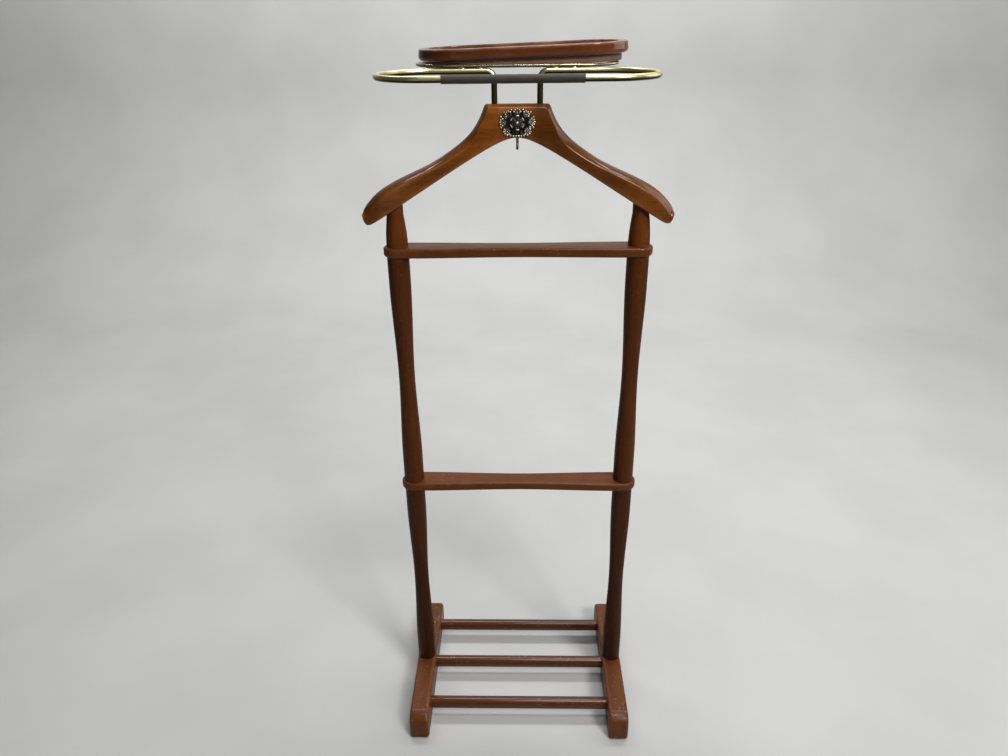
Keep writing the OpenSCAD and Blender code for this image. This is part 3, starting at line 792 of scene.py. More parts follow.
def round_box(width, height, low_r, high_r, d=0.0, steps=20):
    """A rounded rectangle, drawn in by d. The lower and the upper corners may differ."""
    w, h = width / 2, height / 2
    return (arc(w - high_r, h - high_r, high_r - d, 0, steps=steps)
            + arc(high_r - w, h - high_r, high_r - d, 90, steps=steps)
            + arc(low_r - w, low_r - h, low_r - d, 180, steps=steps)
            + arc(w - low_r, low_r - h, low_r - d, 270, steps=steps))


def ease(u):
    """A slow start and a slow end between 0 and 1."""
    v = min(1, max(0, u))
    return v * v * (3 - 2 * v)


print("a round box has", len(round_box(10, 10, 2, 2)), "points")

# %% [markdown]
# ## Feet
# Each foot is a block of wood with large round corners at its upper ends, seen
# from the side, and a small round along every edge. So the ring is the side
# view, and it is repeated across the width, drawn in near both sides. A screw
# goes up into the post, and its head sits in a bore from below. A boolean cuts
# that bore, because it crosses the rings of the skin.

# %% Feet
FOOT_NOSE_R, FOOT_EDGE_R, FOOT_SOLE_R = 23.0, 5.5, 6.0
BORE_D, BORE_DEPTH, SHANK_BORE_D, SHANK_BORE_TOP = 12.0, 10.0, 5.1, FOOT_H - 5
OVERLAP, BORE_SEGMENTS = 1.0, 40


def bore(piece, x, low, high, diameter):
    """Cut an upright bore with a cylinder, and throw the cylinder away."""
    profile = [(diameter / 2, low), (diameter / 2, high)]
    tool = turned("bore_tool", profile, (x, 0, 0), BORE_SEGMENTS)
    knife = piece.modifiers.new("bore", "BOOLEAN")
    knife.operation = "DIFFERENCE"
    knife.solver = "EXACT"
    knife.object = tool
    graph = bpy.context.evaluated_depsgraph_get()
    carved = bpy.data.meshes.new_from_object(piece.evaluated_get(graph))
    piece.modifiers.clear()
    piece.data = carved
    bpy.data.objects.remove(tool)


def foot(name, side):
    """One foot, at its place under the post."""
    rings = [[(side * POST_X + x, y, z + FOOT_H / 2)
              for y, z in round_box(FOOT_L, FOOT_H, FOOT_SOLE_R, FOOT_NOSE_R, inward)]
             for inward, x in edge_steps(FOOT_W, FOOT_EDGE_R)]
    made = skin(name + "_block", rings)
    bore(made, side * POST_X, -OVERLAP, BORE_DEPTH, BORE_D)
    bore(made, side * POST_X, BORE_DEPTH - OVERLAP, SHANK_BORE_TOP, SHANK_BORE_D)
    return dress(made, "foot_wood", "stand", name)


feet = [foot("foot_left", -1), foot("foot_right", 1)]
print("feet:", [len(made.data.vertices) for made in feet], "points")

# %% [markdown]
# ## Shoe bars
# Three round bars join the feet, and shoes hang on them by their heels. They are
# turned, and lie along X. Their ends are slightly rounded where they go into the
# feet.

# %% Shoe bars
DOWEL_IN_FOOT, DOWEL_SOFT, DOWEL_ROWS = 7.5, 1.0, 40


def shoe_bar(name, y):
    """One round bar between the feet."""
    r, reach = DOWEL_D / 2, POST_X - FOOT_W / 2 + DOWEL_IN_FOOT
    full = reach - DOWEL_SOFT
    rows = [(r, -full + 2 * full * i / DOWEL_ROWS) for i in range(DOWEL_ROWS + 1)]
    profile = [(r - DOWEL_SOFT, -reach)] + rows + [(r - DOWEL_SOFT, reach)]
    made = turned(name + "_bar", profile, (0, y, DOWEL_Z), lying=True)
    return dress(made, "dowel_wood", "stand", name)


shoe_bars = [shoe_bar("front_dowel", -DOWEL_PITCH), shoe_bar("middle_dowel", 0),
             shoe_bar("rear_dowel", DOWEL_PITCH)]
print("shoe bars:", len(shoe_bars))

# %% [markdown]
# ## Posts
# The posts are turned too. The lower and the middle ones have a waist half way
# along, drawn by half a cosine wave, so that the outline swells without a kink.
# The short upper ones narrow in one curve to the tenon in the hanger's arm. A
# small round at each end gives the fine dark line where a post meets a rail.

# %% Posts
JOINT_SOFT, SOFT_MIDDLE, POST_ROWS = 0.7, 0.3, 56
NECK_L, NECK_ROWS, NECK_STEP = 46.0, 16, 0.5
TENON_R, TENON_TOP = 12.0, 74.0


def waist_radius(height, length):
    """Radius of a post at a height, smallest half way along."""
    away = min(1, abs(height - length / 2) / WAIST_REACH)
    return (WAIST_D + (POST_D - WAIST_D) * (1 - math.cos(math.pi * away)) / 2) / 2


def soft_ends(profile):
    """A profile with its first and last edge rounded."""
    (r0, z0), (r1, z1) = profile[0], profile[-1]
    soft, between = JOINT_SOFT, SOFT_MIDDLE * JOINT_SOFT
    first = [(r0 - soft, z0), (r0 - between, z0 + between), (r0, z0 + soft)]
    last = [(r1, z1 - soft), (r1 - between, z1 - between), (r1 - soft, z1)]
    return first + profile[1:-1] + last


def post(name, side, z, profile):
    """A turned post that stands at a height."""
    made = turned(name + "_turning", soft_ends(profile), (side * POST_X, 0, z))
    return dress(made, "post_wood", "stand", name)


def waisted(length):
    """The profile of a post with a waist."""
    heights = [length * i / POST_ROWS for i in range(POST_ROWS + 1)]
    return [(waist_radius(height, length), height) for height in heights]


def upper_profile():
    """The profile of an upper post: a neck, then the tenon inside the arm."""
    widening = POST_D / 2 - NECK_STEP - TENON_R
    shares = [i / NECK_ROWS for i in range(NECK_ROWS + 1)]
    neck = [(TENON_R + widening * math.cos(math.pi / 2 * u), NECK_L * u) for u in shares]
    return neck + [(TENON_R, TENON_TOP)]


posts = []
for side, word in ((-1, "left"), (1, "right")):
    posts.append(post("lower_post_" + word, side, FOOT_H, waisted(LOWER_POST_L)))
    posts.append(post("middle_post_" + word, side, MIDDLE_POST_Z, waisted(MIDDLE_POST_L)))
    posts.append(post("upper_post_" + word, side, UPPER_POST_Z, upper_profile()))
print("posts:", len(posts))

# %% [markdown]
# ## Rails
# A rail is a flat board whose ends are round and whose long edges are hollow,
# seen from above. It lies between the posts, so its round ends show as rings
# around them. The outline from above is the ring here, and the steps of a
# rounded edge stack it up.

# %% Rails
RAIL_EDGE_R, RAIL_EDGE_STEPS, HOLLOW_STEPS, FULL_BEFORE_POST = 3.6, 5, 48, 10


def rail_half(x):
    """Half the depth of a rail, front to rear: least in the middle, full at the posts."""
    share = ease(abs(x) / (POST_X - FULL_BEFORE_POST))
    return RAIL_WAIST / 2 + (RAIL_END_D - RAIL_WAIST) / 2 * share


def rail_outline(d):
    """A rail from above, drawn in by d."""
    round_end = [(POST_X + x, y) for x, y in arc(0, 0, RAIL_END_D / 2 - d, -90, 180, steps=36)]
    along = [POST_X * (1 - 2 * i / HOLLOW_STEPS) for i in range(1, HOLLOW_STEPS)]
    half = round_end + [(x, rail_half(x) - d) for x in along]
    return half + [(-x, -y) for x, y in half]


def rail(name, z):
    """One rail at a height."""
    rings = [[(x, y, z + RAIL_T / 2 + height) for x, y in rail_outline(inward)]
             for inward, height in edge_steps(RAIL_T, RAIL_EDGE_R, RAIL_EDGE_STEPS)]
    return dress(skin(name + "_board", rings), "rail_wood", "stand", name)


rails = [rail("lower_rail", LOWER_RAIL_Z), rail("upper_rail", UPPER_RAIL_Z)]
print("rails:", [len(made.data.vertices) for made in rails], "points")

# %% [markdown]
# ## Hanger
# The hanger is one shaped piece of wood. Its front is flat, its underside is a
# wide soft arch, and its top is crowned: a smooth facet that is narrow on the
# centre block, steep on the neck and broad over the shoulders. A section across
# the arm is drawn for each distance x from the middle, and the skin runs
# through them all. First come the lines of the front view.

# %% Hanger: lines of the front view
HANGER_W, BLOCK_W, BLOCK_H, BLOCK_T = 440.0, 88.0, 42.5, 30.0
SHOULDER_T, TIP_T, TIP_LIFT = 38.0, 27.0, 22.5
ARM_SLOPE, ARCH_SOFT = math.tan(math.radians(32.6)), 25.0
NECK_DEPTH, SHOULDER_DEPTH, FLARE_L = 26.5, 37.5, 13.0
TIP_NOSE_W, TIP_NOSE_H, TIP_ROUND, TIP_POWER = 7.0, 15.5, 32.0, 2.5
CORNER_SOFT, DEEPENS_FROM, PAST_POST = 4.0, 60, 15
BLOCK_X, TIP_X = BLOCK_W / 2, HANGER_W / 2


def arch_drop(x):
    """How far the underside has fallen below the crown of the arch."""
    return ARM_SLOPE * (math.hypot(x, ARCH_SOFT) - ARCH_SOFT)


ARCH_Z = UNDER_AT_POST + arch_drop(POST_X)
HANGER_TOP = ARCH_Z + BLOCK_H


def underside(x):
    """Height of the hanger's underside."""
    return ARCH_Z - arch_drop(x)


def soft_min(a, b, k):
    """The lower of two values, with a soft change from one to the other."""
    return (a + b - math.hypot(a - b, k)) / 2


def soft_max(a, b, k):
    """The higher of two values, with a soft change from one to the other."""
    return (a + b + math.hypot(a - b, k)) / 2


TIP_Z = underside(TIP_X) + TIP_LIFT
FLARE_H = HANGER_TOP - underside(BLOCK_X) - NECK_DEPTH


def shoulder_line(x):
    """Height of the top edge before the tip is rounded."""
    whole = POST_X + PAST_POST - BLOCK_X - DEEPENS_FROM
    deepening = ease((x - BLOCK_X - DEEPENS_FROM) / whole)
    depth = NECK_DEPTH + (SHOULDER_DEPTH - NECK_DEPTH) * deepening
    arm = underside(x) + depth + FLARE_H * math.exp((BLOCK_X - x) / FLARE_L)
    return HANGER_TOP if x < BLOCK_X - 2 * CORNER_SOFT else soft_min(HANGER_TOP, arm, CORNER_SOFT)


def hanger_upper(x):
    """Height of the top edge, rounded down at the tip."""
    u = min(1, max(0, (x - TIP_X + TIP_ROUND) / TIP_ROUND))
    return TIP_Z + (shoulder_line(x) - TIP_Z) * math.sqrt(1 - u ** TIP_POWER)


def hanger_lower(x):
    """Height of the lower edge, with the tip's round lower end."""
    u = min(1, max(0, (x - TIP_X) / TIP_NOSE_W + 1))
    nose = TIP_Z - TIP_NOSE_H * math.sqrt(1 - u * u)
    return soft_max(underside(x), nose, CORNER_SOFT / 2)


print("hanger: arch at", round(ARCH_Z, 2), "mm, top at", round(HANGER_TOP, 2), "mm")

# %% [markdown]
# The section is a crowned top, a small soft ridge, an upright face and a rounded
# lower edge. The ridge is the line that catches the light on the real hanger,
# so it is a tight little curve and not a hard corner. Half of the section is
# drawn, and the other half is its mirror.

# %% Hanger: sections and skin
RIDGE_X = (44, 50, 56, 80, 124, 155, 185, 220)
RIDGE_DROP = (3.5, 11, 14, 11, 6.5, 7.5, 10, 16)
RIDGE_IN, RIDGE_SOFT, LOWER_EDGE_R, CORNER_REACH = 4.3, 1.3, 3.0, 30
MOST_DROP, MOST_ROUND = 0.6, 0.3
CROWN_STEPS, RIDGE_STEPS, BLOCK_STEPS, ARM_STEPS = 8, 5, 6, 110
BEFORE_FLARE, TIP_LEFT_OPEN = 6, 0.02


def ridge_drop(x):
    """How far the ridge lies below the crest. It turns the block's corner first."""
    drop = float(np.interp(x, RIDGE_X, RIDGE_DROP))
    if x > BLOCK_X + CORNER_REACH:
        return drop
    return max(drop, hanger_upper(x) - hanger_upper(x + RIDGE_IN) + RIDGE_DROP[0])


def hanger_half_t(x):
    """Half thickness, front to rear."""
    out = ease((x - BLOCK_X) / (POST_X - BLOCK_X))
    back = ease((x - POST_X - PAST_POST) / (TIP_X - POST_X - PAST_POST))
    return (BLOCK_T + (SHOULDER_T - BLOCK_T) * out - (SHOULDER_T - TIP_T) * back) / 2


def soft_corner(corner, before, after, reach):
    """A small curve that takes the place of a corner."""
    start = corner + (before - corner).normalized() * reach
    end = corner + (after - corner).normalized() * reach
    shares = [i / RIDGE_STEPS for i in range(RIDGE_STEPS + 1)]
    return [start * (1 - t) ** 2 + corner * 2 * t * (1 - t) + end * t * t for t in shares]


def hanger_section(x):
    """The hanger's section at a distance from the middle, as (y, z) all the way round."""
    top, low, half = hanger_upper(x), hanger_lower(x), hanger_half_t(x)
    drop = min(ridge_drop(x), MOST_DROP * (top - low))
    soft = min(RIDGE_SOFT, MOST_ROUND * (top - low - drop))
    r = min(LOWER_EDGE_R, MOST_ROUND * (top - low))
    crown = [Vector((half * i / CROWN_STEPS, top - drop * (i / CROWN_STEPS) ** 2))
             for i in range(CROWN_STEPS + 1)]
    ridge = soft_corner(crown[-1], crown[-2], Vector((half, low)), soft)
    face = [ridge[-1].lerp(Vector((half, low + r)), i / 4) for i in (1, 2, 3)]
    edge = [Vector(p) for p in arc(half - r, low + r, r, 0, -90, steps=6)]
    right = crown[:-1] + ridge + face + edge + [Vector((half / 2, low)), Vector((0, low))]
    return right + [Vector((-p.x, p.y)) for p in right[-2:0:-1]]


def hanger_stations():
    """Distances from the middle, close together at the block's flare and at the tip."""
    flare = BLOCK_X - BEFORE_FLARE
    near = [flare * i / BLOCK_STEPS for i in range(BLOCK_STEPS)]
    span = TIP_X - TIP_LEFT_OPEN - flare
    far = [flare + span * (1 - math.cos(math.pi * i / ARM_STEPS)) / 2
           for i in range(ARM_STEPS + 1)]
    return near + far


def hanger():
    """The whole hanger, from the left tip to the right."""
    right = [(x, hanger_section(x)) for x in hanger_stations()]
    left = [(-x, section) for x, section in right[:0:-1]]
    rings = [[(x, p.x, p.y) for p in section] for x, section in left + right]
    return dress(skin("hanger_shape", rings), "hanger_wood", "stand", "hanger")


hanger_piece = hanger()
print("hanger:", len(hanger_piece.data.vertices), "points")

# %% [markdown]
# ## Trouser rod, ring and brazing
# One brass rod is bent six times: up out of the hanger, outward as a rear rod,
# round a wide end, across the front and back again. A curve with a round bevel
# is the natural tool for bent rod: the points of its middle line are all that
# has to be drawn. The ring of thinner wire lies on the rear rods.

# %% Trouser rod and ring
BAR_D, WIRE_D, WIRE_GAP = 8.0, 4.4, 0.05
UPRIGHT_X, BAR_BEND_R, BAR_RISE, BAR_IN_HANGER = 30.5, 10.0, 40.5, 12
LOOP_W, LOOP_DEPTH = 358.0, 125.0
BAR_Z = HANGER_TOP + BAR_RISE
LOOP_R = LOOP_DEPTH / 2
REAR_ROD_END = LOOP_W / 2 - BAR_D / 2 - LOOP_R
RING_W, RING_DEPTH, RING_CORNER_R = 275.0, 122.0, 55.0
RING_Z = BAR_Z + BAR_D / 2 + WIRE_D / 2 + WIRE_GAP


def bent_rod(name, points, diameter, finish, node, closed=False):
    """A round rod along a line of points in millimetres."""
    line = bpy.data.curves.new(name, "CURVE")
    line.dimensions = "3D"
    line.bevel_depth = diameter / 2 * MM
    line.bevel_resolution = 8
    line.use_fill_caps = True
    spline = line.splines.new("POLY")
    spline.points.add(len(points) - 1)
    for spot, (x, y, z) in zip(spline.points, points):
        spot.co = (x * MM, y * MM, z * MM, 1)
    spline.use_cyclic_u = closed
    spline.use_smooth = True
    return dress(in_scene(name, line), finish, "stand", node)


def rod_line():
    """The middle line of the trouser rod, from the left upright to the right one."""
    bend = arc(UPRIGHT_X + BAR_BEND_R, BAR_Z - BAR_BEND_R, BAR_BEND_R, 180, -90, steps=16)
    rise = [(UPRIGHT_X, 0, HANGER_TOP - BAR_IN_HANGER)] + [(x, 0, z) for x, z in bend]
    loop = [(x, y, BAR_Z) for x, y in arc(REAR_ROD_END, -LOOP_R, LOOP_R, 90, -180, steps=56)]
    right = rise + loop
    return [(-x, y, z) for x, y, z in right] + right[::-1]


def ring_line():
    """The middle line of the tray ring."""
    outline = round_box(RING_W, RING_DEPTH, RING_CORNER_R, RING_CORNER_R, steps=28)
    return [(x, y + RING_DEPTH / 2, RING_Z) for x, y in outline]


bent_rod("trouser_rod", rod_line(), BAR_D, "bar_brass", "trouser_bar")
bent_rod("ring_wire", ring_line(), WIRE_D, "ring_brass", "tray_ring", closed=True)
print("rod:", len(rod_line()), "points, ring:", len(ring_line()), "points")

# %% [markdown]
# Brazing metal fills the groove between the ring and the rods in eight short
# beads. Each is a little boat shape: a section with a hollow outer side that
# shrinks towards both ends.

# %% Brazing
BEAD_L, BEAD_STEPS, BEAD_X = 9.0, 12, (49.5, 73.5)
BEAD_SINK, BEAD_UNDER_RING, BEAD_INNER, BEAD_OUTER = 0.9, 0.2, 0.4, 0.5
LEAST_SQUARE = 0.02


def bead(bm, x, way):
    """One bead of brazing metal in front of the wire or behind it."""
    rings = []
    for i in range(BEAD_STEPS + 1):
        u = i / (BEAD_STEPS / 2) - 1
        full = math.sqrt(max(LEAST_SQUARE, 1 - u * u))
        low, high = BAR_Z + BAR_D / 2 - BEAD_SINK * full, RING_Z - BEAD_UNDER_RING
        section = [(BEAD_INNER, low + BEAD_SINK * full), (1.9 * full + BEAD_OUTER, low),
                   (1.35 * full + BEAD_OUTER, low + 1.1), (1.5 * full + BEAD_OUTER, high),
                   (BEAD_INNER, high)]
        rings.append([(x + u * BEAD_L / 2, way * y, z) for y, z in section])
    add_skin(bm, rings)


brazing_mesh = bmesh.new()
for side in (-1, 1):
    for spot in BEAD_X:
        for way in (-1, 1):
            bead(brazing_mesh, side * spot, way)
brazing = dress(as_piece("brazing", brazing_mesh), "ring_brass", "stand", "braze_fillets")
print("brazing:", len(brazing.data.vertices), "points")

# %% [markdown]
# ## Sleeve
# A soft plastic sleeve on the front rod keeps trousers from slipping. It is a
# thin tube, so its profile goes along the outside and back along the inside. It
# isn't perfectly round any more: a slow wave in its radius makes it look soft.

# %% Sleeve
SLEEVE_D, SLEEVE_L, SLEEVE_X = 10.4, 169.0, -4.5
SLEEVE_PLAY, SLEEVE_SOFT, SLEEVE_WAVE = 0.05, 0.4, 0.06
SLEEVE_ROWS, SLEEVE_SEGMENTS, SHORT_WAVE, LONG_WAVE = 48, 40, 5, 13


def sleeve():
    """The tube on the front rod."""
    outer, inner, half = SLEEVE_D / 2, BAR_D / 2 + SLEEVE_PLAY, SLEEVE_L / 2
    soft, wave = SLEEVE_SOFT, SLEEVE_WAVE
    profile = [(inner, -half), (outer - soft, -half), (outer, soft - half)]
    for i in range(1, SLEEVE_ROWS):
        z = soft - half + (SLEEVE_L - 2 * soft) * i / SLEEVE_ROWS
        swell = wave * math.sin(z / SHORT_WAVE) * math.sin(z / LONG_WAVE)
        profile.append((outer - wave + swell, z))
    profile += [(outer, half - soft), (outer - soft, half), (inner, half)]
    made = turned("rod_sleeve", profile, (SLEEVE_X, -LOOP_DEPTH, BAR_Z), SLEEVE_SEGMENTS,
                  lying=True, tube=True)
    return dress(made, "sleeve_rubber", "stand", "bar_sleeve")


sleeve_piece = sleeve()
print("sleeve:", len(sleeve_piece.data.vertices), "points")

# %% [markdown]
# ## Cast flower
# A cast spray of flowers is fixed to the hanger's block: a rose in the middle,
# small blossoms around it and leaves between them. A casting has many small
# domes with sharp valleys between them. So each petal is a dome of its own, and
# where domes cross they make the valleys. A dome has its own long and wide
# radius, turn and height, and a groove along its middle makes it a leaf.

# %% Cast flower: one petal
FLOWER_W, FLOWER_H = 49.0, 38.0
FLOWER_Z = ARCH_Z + FLOWER_H / 2 + 1
FACE_Y = -BLOCK_T / 2
PETAL_ROWS, PETAL_SEGMENTS, PETAL_POLISH = 6, 20, 0.86
SMALLEST, GROOVE_W = 0.02, 0.25


def petal(bm, x, z, long_r, wide_r, turn=0.0, *, base, rise, groove=0.0, point=0.0,
          polish=PETAL_POLISH):
    """A domed petal on the block's face. Turn is in degrees, and point narrows its outer end."""
    lean = Matrix.Rotation(math.radians(turn), 2)
    rings, shine = [], []
    for i in range(PETAL_ROWS + 2):
        down = math.pi / 2 * min(i, PETAL_ROWS) / PETAL_ROWS
        on_dome = i <= PETAL_ROWS
        ring = []
        for j in range(PETAL_SEGMENTS):
            a = 2 * math.pi * j / PETAL_SEGMENTS
            narrow = 1 - point * (1 + math.cos(a)) / 2
            flat = Vector((long_r * math.cos(a), wide_r * math.sin(a) * narrow))
            flat *= max(SMALLEST, math.sin(down))
            crease = groove * math.exp(-(flat.y / (GROOVE_W * wide_r)) ** 2)
            high = math.cos(down) * (1 - crease) if on_dome else 0.0
            spot = lean @ flat + Vector((x, z))
            lift = base + rise * high if on_dome else 0.0
            ring.append((spot.x, FACE_Y - lift, FLOWER_Z + spot.y))
            shine.append(high * polish)
        rings.append(ring)
    proud = bm.verts.layers.float["proud"]
    points = [point for row in add_skin(bm, rings) for point in row]
    for point, share in zip(points, shine):
        point[proud] = share


print("a petal has", (PETAL_ROWS + 2) * PETAL_SEGMENTS, "points")

# %% [markdown]
# The spray is laid out by a few rules. A round of petals stands on a circle and
# each petal points outward. The rose is two such rounds and a middle petal, each
# higher than the last, with a thin bright crescent at the tip of every outer
# petal. A blossom is one small round on a low disc, with a bead in the middle
# and five bright beads on its outer side. More beads stand along the edge.

# %% Cast flower: the spray
BLOSSOMS = ((-18.7, 0.6, 4.7), (18.7, 0.6, 4.7), (0.0, 13.3, 4.6), (-13.4, -10.9, 4.9),
            (13.4, -10.9, 4.9), (-11.6, 10.2, 4.4), (11.6, 10.2, 4.4))
LEAVES = ((-16.4, 7.0, 150, 4.8), (16.4, 7.0, 30, 4.8), (-17.8, -6.2, 205, 4.8),
          (17.8, -6.2, -25, 4.8), (0.0, -14.2, -90, 4.5), (-6.2, -14.2, -112, 4.2),
          (6.2, -14.2, -68, 4.2), (-5.8, 14.6, 118, 3.8), (5.8, 14.6, 62, 3.8))
EDGE_BEADS = [(side * x, z) for side in (-1, 1) for x, z in (
    (1.8, -17.0), (5.4, -17.0), (9.0, -16.4), (21.4, -6.2), (21.8, 7.4), (7.6, 16.6),
    (17.6, 13.2))]
BLOSSOM_BEAD_R, BLOSSOM_BEAD_TURN = 1.4, 40


def round_of(bm, count, x, z, spread, long_r, wide_r, first=0.0, swing=0.0, **shape):
    """A round of petals that point outward, each swung about its own middle."""
    for i in range(count):
        turn = first + 360 * i / count
        a = math.radians(turn)
        petal(bm, x + spread * math.cos(a), z + spread * math.sin(a), long_r, wide_r,
              turn + swing, **shape)


def rose(bm):
    """The rose in the middle, with rounds of petals that rise inward."""
    round_of(bm, 6, 0, 0, 6.6, 3.9, 3.9, 30, base=0.9, rise=1.6, groove=0.25, polish=0.72)
    round_of(bm, 6, 0, 0, 8.9, 3.3, 1.05, 30, swing=90, base=1.5, rise=1.7, polish=1.0)
    round_of(bm, 5, 0, 0, 3.9, 2.7, 2.7, 10, base=2.2, rise=1.5, groove=0.25, polish=0.7)
    petal(bm, 0, 0, 2.3, 2.3, base=3.4, rise=2.0, polish=0.9)


def blossom(bm, x, z, size, first):
    """A small five-petalled blossom with a bead in the middle and five on its outer side."""
    round_of(bm, 5, x, z, 0.58 * size, 0.44 * size, 0.38 * size, first,
             base=0.9, rise=1.3, groove=0.35)
    petal(bm, x, z, 0.24 * size, 0.24 * size, base=1.9, rise=1.1)
    petal(bm, x, z, 1.1 * size, 1.1 * size, base=0.2, rise=0.8, polish=0.2)
    outward = math.atan2(z / FLOWER_H, x / FLOWER_W)
    for k in range(-2, 3):
        a = outward + math.radians(BLOSSOM_BEAD_TURN * k)
        petal(bm, x + 0.95 * size * math.cos(a), z + 0.95 * size * math.sin(a),
              BLOSSOM_BEAD_R, BLOSSOM_BEAD_R, base=0.9, rise=1.7, polish=1.0)


print("the spray has", len(BLOSSOMS), "blossoms and", len(LEAVES), "leaves")

# %% [markdown]
# All of it goes into one mesh, because it is one casting. A thin plate with a
# scalloped edge lies behind and holds it together.

# %% Cast flower: the casting
EDGE_BEAD_R, BLOSSOM_TURN, LEAF_WIDTH = 1.5, 23, 0.42
PLATE_POINTS, PLATE_LOBES, PLATE_SCALLOP, PLATE_T = 144, 7, 0.05, 0.9
PLATE_W, PLATE_H = 0.42 * FLOWER_W, 0.44 * FLOWER_H


def backing(bm):
    """The thin plate behind, with a scalloped edge."""
    outline = []
    for i in range(PLATE_POINTS):
        a = 2 * math.pi * i / PLATE_POINTS
        scallop = 1 - PLATE_SCALLOP * abs(math.cos(PLATE_LOBES * a))
        outline.append((PLATE_W * math.cos(a) * scallop, PLATE_H * math.sin(a) * scallop))
    add_skin(bm, [[(x, FACE_Y - lift, FLOWER_Z + z) for x, z in outline]
                  for lift in (0, PLATE_T)])


def cast_flower():
    """The whole spray as one casting."""
    bm = bmesh.new()
    bm.verts.layers.float.new("proud")
    backing(bm)
    rose(bm)
    for i, (x, z, size) in enumerate(BLOSSOMS):
        blossom(bm, x, z, size, 90 + BLOSSOM_TURN * i)
    for x, z, turn, length in LEAVES:
        petal(bm, x, z, length, LEAF_WIDTH * length, turn, base=0.7, rise=1.3, groove=0.6,
              point=0.7)
    for x, z in EDGE_BEADS:
        petal(bm, x, z, EDGE_BEAD_R, EDGE_BEAD_R, base=0.7, rise=1.7, polish=1.0)
    return dress(as_piece("cast_flower", bm), "rosette_cast", "stand", "rosette")


flower = cast_flower()
print("cast flower:", len(flower.data.vertices), "points")

# %% [markdown]
# ## Cup hook
# A small brass cup hook hangs from the crown of the arch, for a tie or a key. It
# is a wire screwed through a collar, with a bowl that opens to the front. The
# wire is a curve like the rod, and the collar is turned.

# %% Cup hook
HOOK_D, BOWL_R, STEM_L, COLLAR_T, COLLAR_D = 3.6, 4.7, 8.5, 1.6, 8.0
HOOK_IN_WOOD, COLLAR_BELOW_ARCH = 2, 0.5
COLLAR_Z = ARCH_Z - COLLAR_BELOW_ARCH - COLLAR_T
BOWL_Z = COLLAR_Z - STEM_L


def hook_line():
    """The middle line of the hook's wire: down the stem and round the bowl."""
    bowl = [(0, y, z) for y, z in arc(-BOWL_R, BOWL_Z, BOWL_R, 0, -200, steps=30)]
    return [(0, 0, ARCH_Z + HOOK_IN_WOOD)] + bowl


def hook_collar():
    """The turned collar against the wood."""
    r = COLLAR_D / 2
    profile = [(HOOK_D / 2, 0), (r - 1.6, 0.1), (r - 0.5, 0.5), (r, 1.1), (r, COLLAR_T)]
    made = turned("hook_collar", profile, (0, 0, COLLAR_Z), segments=40)
    return dress(made, "hook_brass", "stand", "cup_hook")


bent_rod("hook_wire", hook_line(), HOOK_D, "hook_brass", "cup_hook")
hook_collar()
print("hook hangs down to", round(BOWL_Z - BOWL_R - HOOK_D / 2, 1), "mm")

# %% [markdown]
# ## Tray
# The tray lies loose in the ring, a little askew: its left end has dropped inside
# the ring, and its right end rides on the wire. Both its parts are drawn level
# about the middle of the rim's underside, and one matrix then lays them down.
# The rim is a ring of wood with a rounded top. The floor board is smaller, and
# it is the part that drops into the wire ring.

# %% Tray
RIM_H, RIM_WALL, RIM_LEDGE, RIM_LEAN = 15.0, 13.0, 9.0, 1.0
RIM_TOP_R, RIM_FOOT_R = 1.5, 6.0
FLOOR_T, FLOOR_EDGE_R = 9.2, 0.8
TRAY_PLAY, TRAY_PLAY_Y, TRAY_SHIFT, TRAY_CREEP, SEAT_GAP = 1.0, 2.2, 8.3, 1.8, 0.3
SEAT_ROUND_CORNER = 0.4
FLOOR_W = RING_W - WIRE_D - 2 * TRAY_PLAY
FLOOR_DEPTH = RING_DEPTH - WIRE_D - 2 * TRAY_PLAY_Y
FLOOR_CORNER_R = RING_CORNER_R - WIRE_D / 2 - TRAY_PLAY


def tray_matrix():
    """Where the tray lies: its left end on the rear rod, its right end on the wire."""
    straight_x = RING_W / 2 - RING_CORNER_R
    left, right = TRAY_SHIFT - straight_x, straight_x + SEAT_ROUND_CORNER * RING_CORNER_R
    front = (RING_DEPTH - FLOOR_DEPTH) / 2 - TRAY_CREEP + FLOOR_EDGE_R
    reach = BAR_D / 2 + FLOOR_EDGE_R + SEAT_GAP
    height = BAR_Z - FLOOR_EDGE_R + math.sqrt(reach ** 2 - front ** 2)
    tilt = math.asin((RING_Z + WIRE_D / 2 + SEAT_GAP - height) / (right - left))
    on_rod = Matrix.Translation((left, RING_DEPTH / 2 - TRAY_CREEP, height))
    own = Matrix.Translation((TRAY_SHIFT - left, 0, FLOOR_T))
    print("tray leans by", round(math.degrees(tilt), 2), "degrees")
    return on_rod @ Matrix.Rotation(-tilt, 4, "Y") @ own


def tray_outline(d):
    """The floor's outline, drawn in by d or, below zero, set out."""
    return round_box(FLOOR_W, FLOOR_DEPTH, FLOOR_CORNER_R, FLOOR_CORNER_R, d, steps=26)


def rim_section():
    """The rim's wall: distance in from its outer face, and height."""
    r, f = RIM_TOP_R, RIM_FOOT_R
    outer_top = [(RIM_LEAN + r - x, RIM_H - r + z) for x, z in arc(0, 0, r, 0, 90, steps=5)]
    inner_top = [(RIM_WALL - r + x, RIM_H - r + z) for x, z in arc(0, 0, r, 90, -90, steps=5)]
    sole = [(RIM_WALL, 0)] + [(f - x, f - z) for x, z in arc(0, 0, f, 90, -90, steps=8)]
    lean = [(RIM_LEAN * i / 4, f + (RIM_H - r - f) * i / 4) for i in (1, 2, 3)]
    return outer_top + inner_top + sole + lean


def laid(rings, lay):
    """Rings of points moved by a matrix."""
    return [[lay @ Vector(point) for point in ring] for ring in rings]


